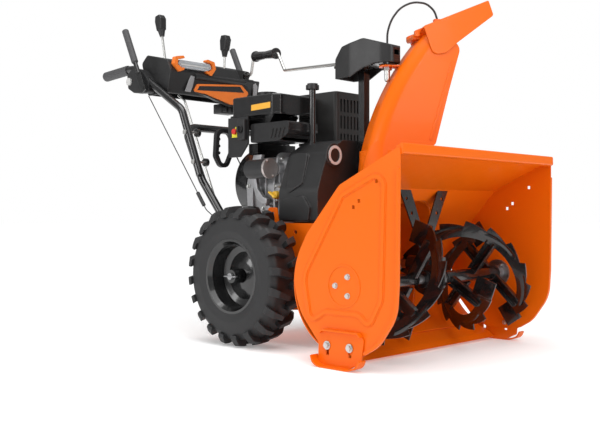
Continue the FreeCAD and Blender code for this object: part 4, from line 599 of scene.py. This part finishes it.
case_bosses = bmesh.new()
for x, y, z, radius, reach in ((-2, -118, 452, 0.017, 0.014), (-52, -117, 396, 0.013, 0.012),
                               (8, -114, 398, 0.012, 0.012), (-98, -117, 446, 0.010, 0.012)):
    cast_stub(case_bosses, at(x, y, z), "X", radius * 1.15, radius, reach, 0.0012)
cast_stub(case_bosses, at(14, -122, 470), "Y", 0.008, 0.008, 0.046, 0.001)
placed_piece("case_bosses", case_bosses, casting, "machine", True)

wing_plug = bmesh.new()
plug_place = at(-8, -127, 440)
turn_out = Vector((0, -1, 0)).to_track_quat("Z", "Y").to_matrix().to_4x4()
bmesh.ops.create_cone(wing_plug, cap_ends=True, segments=32, radius1=0.013, radius2=0.0115,
                      depth=0.014,
                      matrix=Matrix.Translation(plug_place - Vector((0, 0.004, 0))) @ turn_out)
bmesh.ops.bevel(wing_plug, geom=list(wing_plug.edges), offset=0.0012, segments=2, profile=0.5,
                affect="EDGES", material=-1)
wing_place = Matrix.Translation(plug_place - Vector((0, 0.017, 0)))
wing_turn = Matrix.Rotation(math.radians(35), 4, "Y")
wing = bmesh.ops.create_cube(wing_plug, size=1.0,
                             matrix=wing_place @ wing_turn @ Matrix.Diagonal((0.034, 0.016, 0.006, 1)))
edges = list({e for v in wing["verts"] for e in v.link_edges})
bmesh.ops.bevel(wing_plug, geom=edges, offset=0.0026, segments=3, profile=0.5, affect="EDGES", material=-1)
yellow_plastic = finish("yellow_plastic", (0.85, 0.50, 0.02), 0.38, (0.9, 0.7, 0.3), wear=0.3,
                        dust=0.08, grain=1300.0, bump=0.06, tone=0.06)
placed_piece("oil_plug", wing_plug, yellow_plastic, "machine", True)

# ---- Dash corner panels, badge inlay, lamp strip and wiring box ----
# Painted silver-grey end pieces frame the badge panel, which has a plain black inlay. A pale
# strip lies along the lens, and the lamp's black wiring box hangs under the dash.
silver_plastic = finish("silver_plastic", (0.34, 0.34, 0.35), 0.38, (0.5, 0.5, 0.5), wear=0.3,
                        dust=0.1, grain=1500.0, bump=0.1, tone=0.08, Metallic=0.3)
for hand in (-1, 1):
    outline = ([(-440.5, -116, 796), (-440.5, -108, 814), (-440.5, -102, 834), (-440.5, -99, 850),
                (-440.5, -114, 853), (-440.5, -124, 834), (-442.0, -131, 814), (-444.0, -137, 797)]
               if hand < 0 else [(-440.5, 172, 806), (-440.5, 172, 852), (-437.5, 182, 858),
                                 (-440.5, 194, 846), (-448.0, 194, 806)])
    plate("dash_corner_" + ("right" if hand < 0 else "left"), [at(*corner) for corner in outline],
          0.004, (1, 0, 0), silver_plastic, bevel=0.0008)
plate("badge_inlay", [at(-434, -80, 820), at(-434, -90, 805), at(-434, 124, 817), at(-434, 106, 837)],
      0.0006, (1, 0, 0), gloss_plastic)
plate("lamp_reflector", [at(-431, -160, 882), at(-431, -44, 882), at(-431, -40, 887), at(-431, -164, 887)],
      0.0006, (1, 0, 0), pale_plastic)
box_mesh = bmesh.new()
bmesh.ops.create_cube(box_mesh, size=1.0, matrix=Matrix.Translation(at(-486, 78, 757))
                      @ Matrix.Diagonal((0.044, 0.070, 0.034, 1)))
bmesh.ops.bevel(box_mesh, geom=list(box_mesh.edges), offset=0.003, segments=2, profile=0.5,
                affect="EDGES", material=-1)
for k in range(3):
    socket = bmesh.ops.create_cube(box_mesh, size=1.0, matrix=Matrix.Translation(at(-463, 56 + 22 * k, 755))
                                   @ Matrix.Diagonal((0.010, 0.015, 0.018, 1)))
    edges = list({e for v in socket["verts"] for e in v.link_edges})
    bmesh.ops.bevel(box_mesh, geom=edges, offset=0.0016, segments=2, profile=0.5, affect="EDGES", material=-1)
placed_piece("wiring_box", box_mesh, moulded, "machine", True)
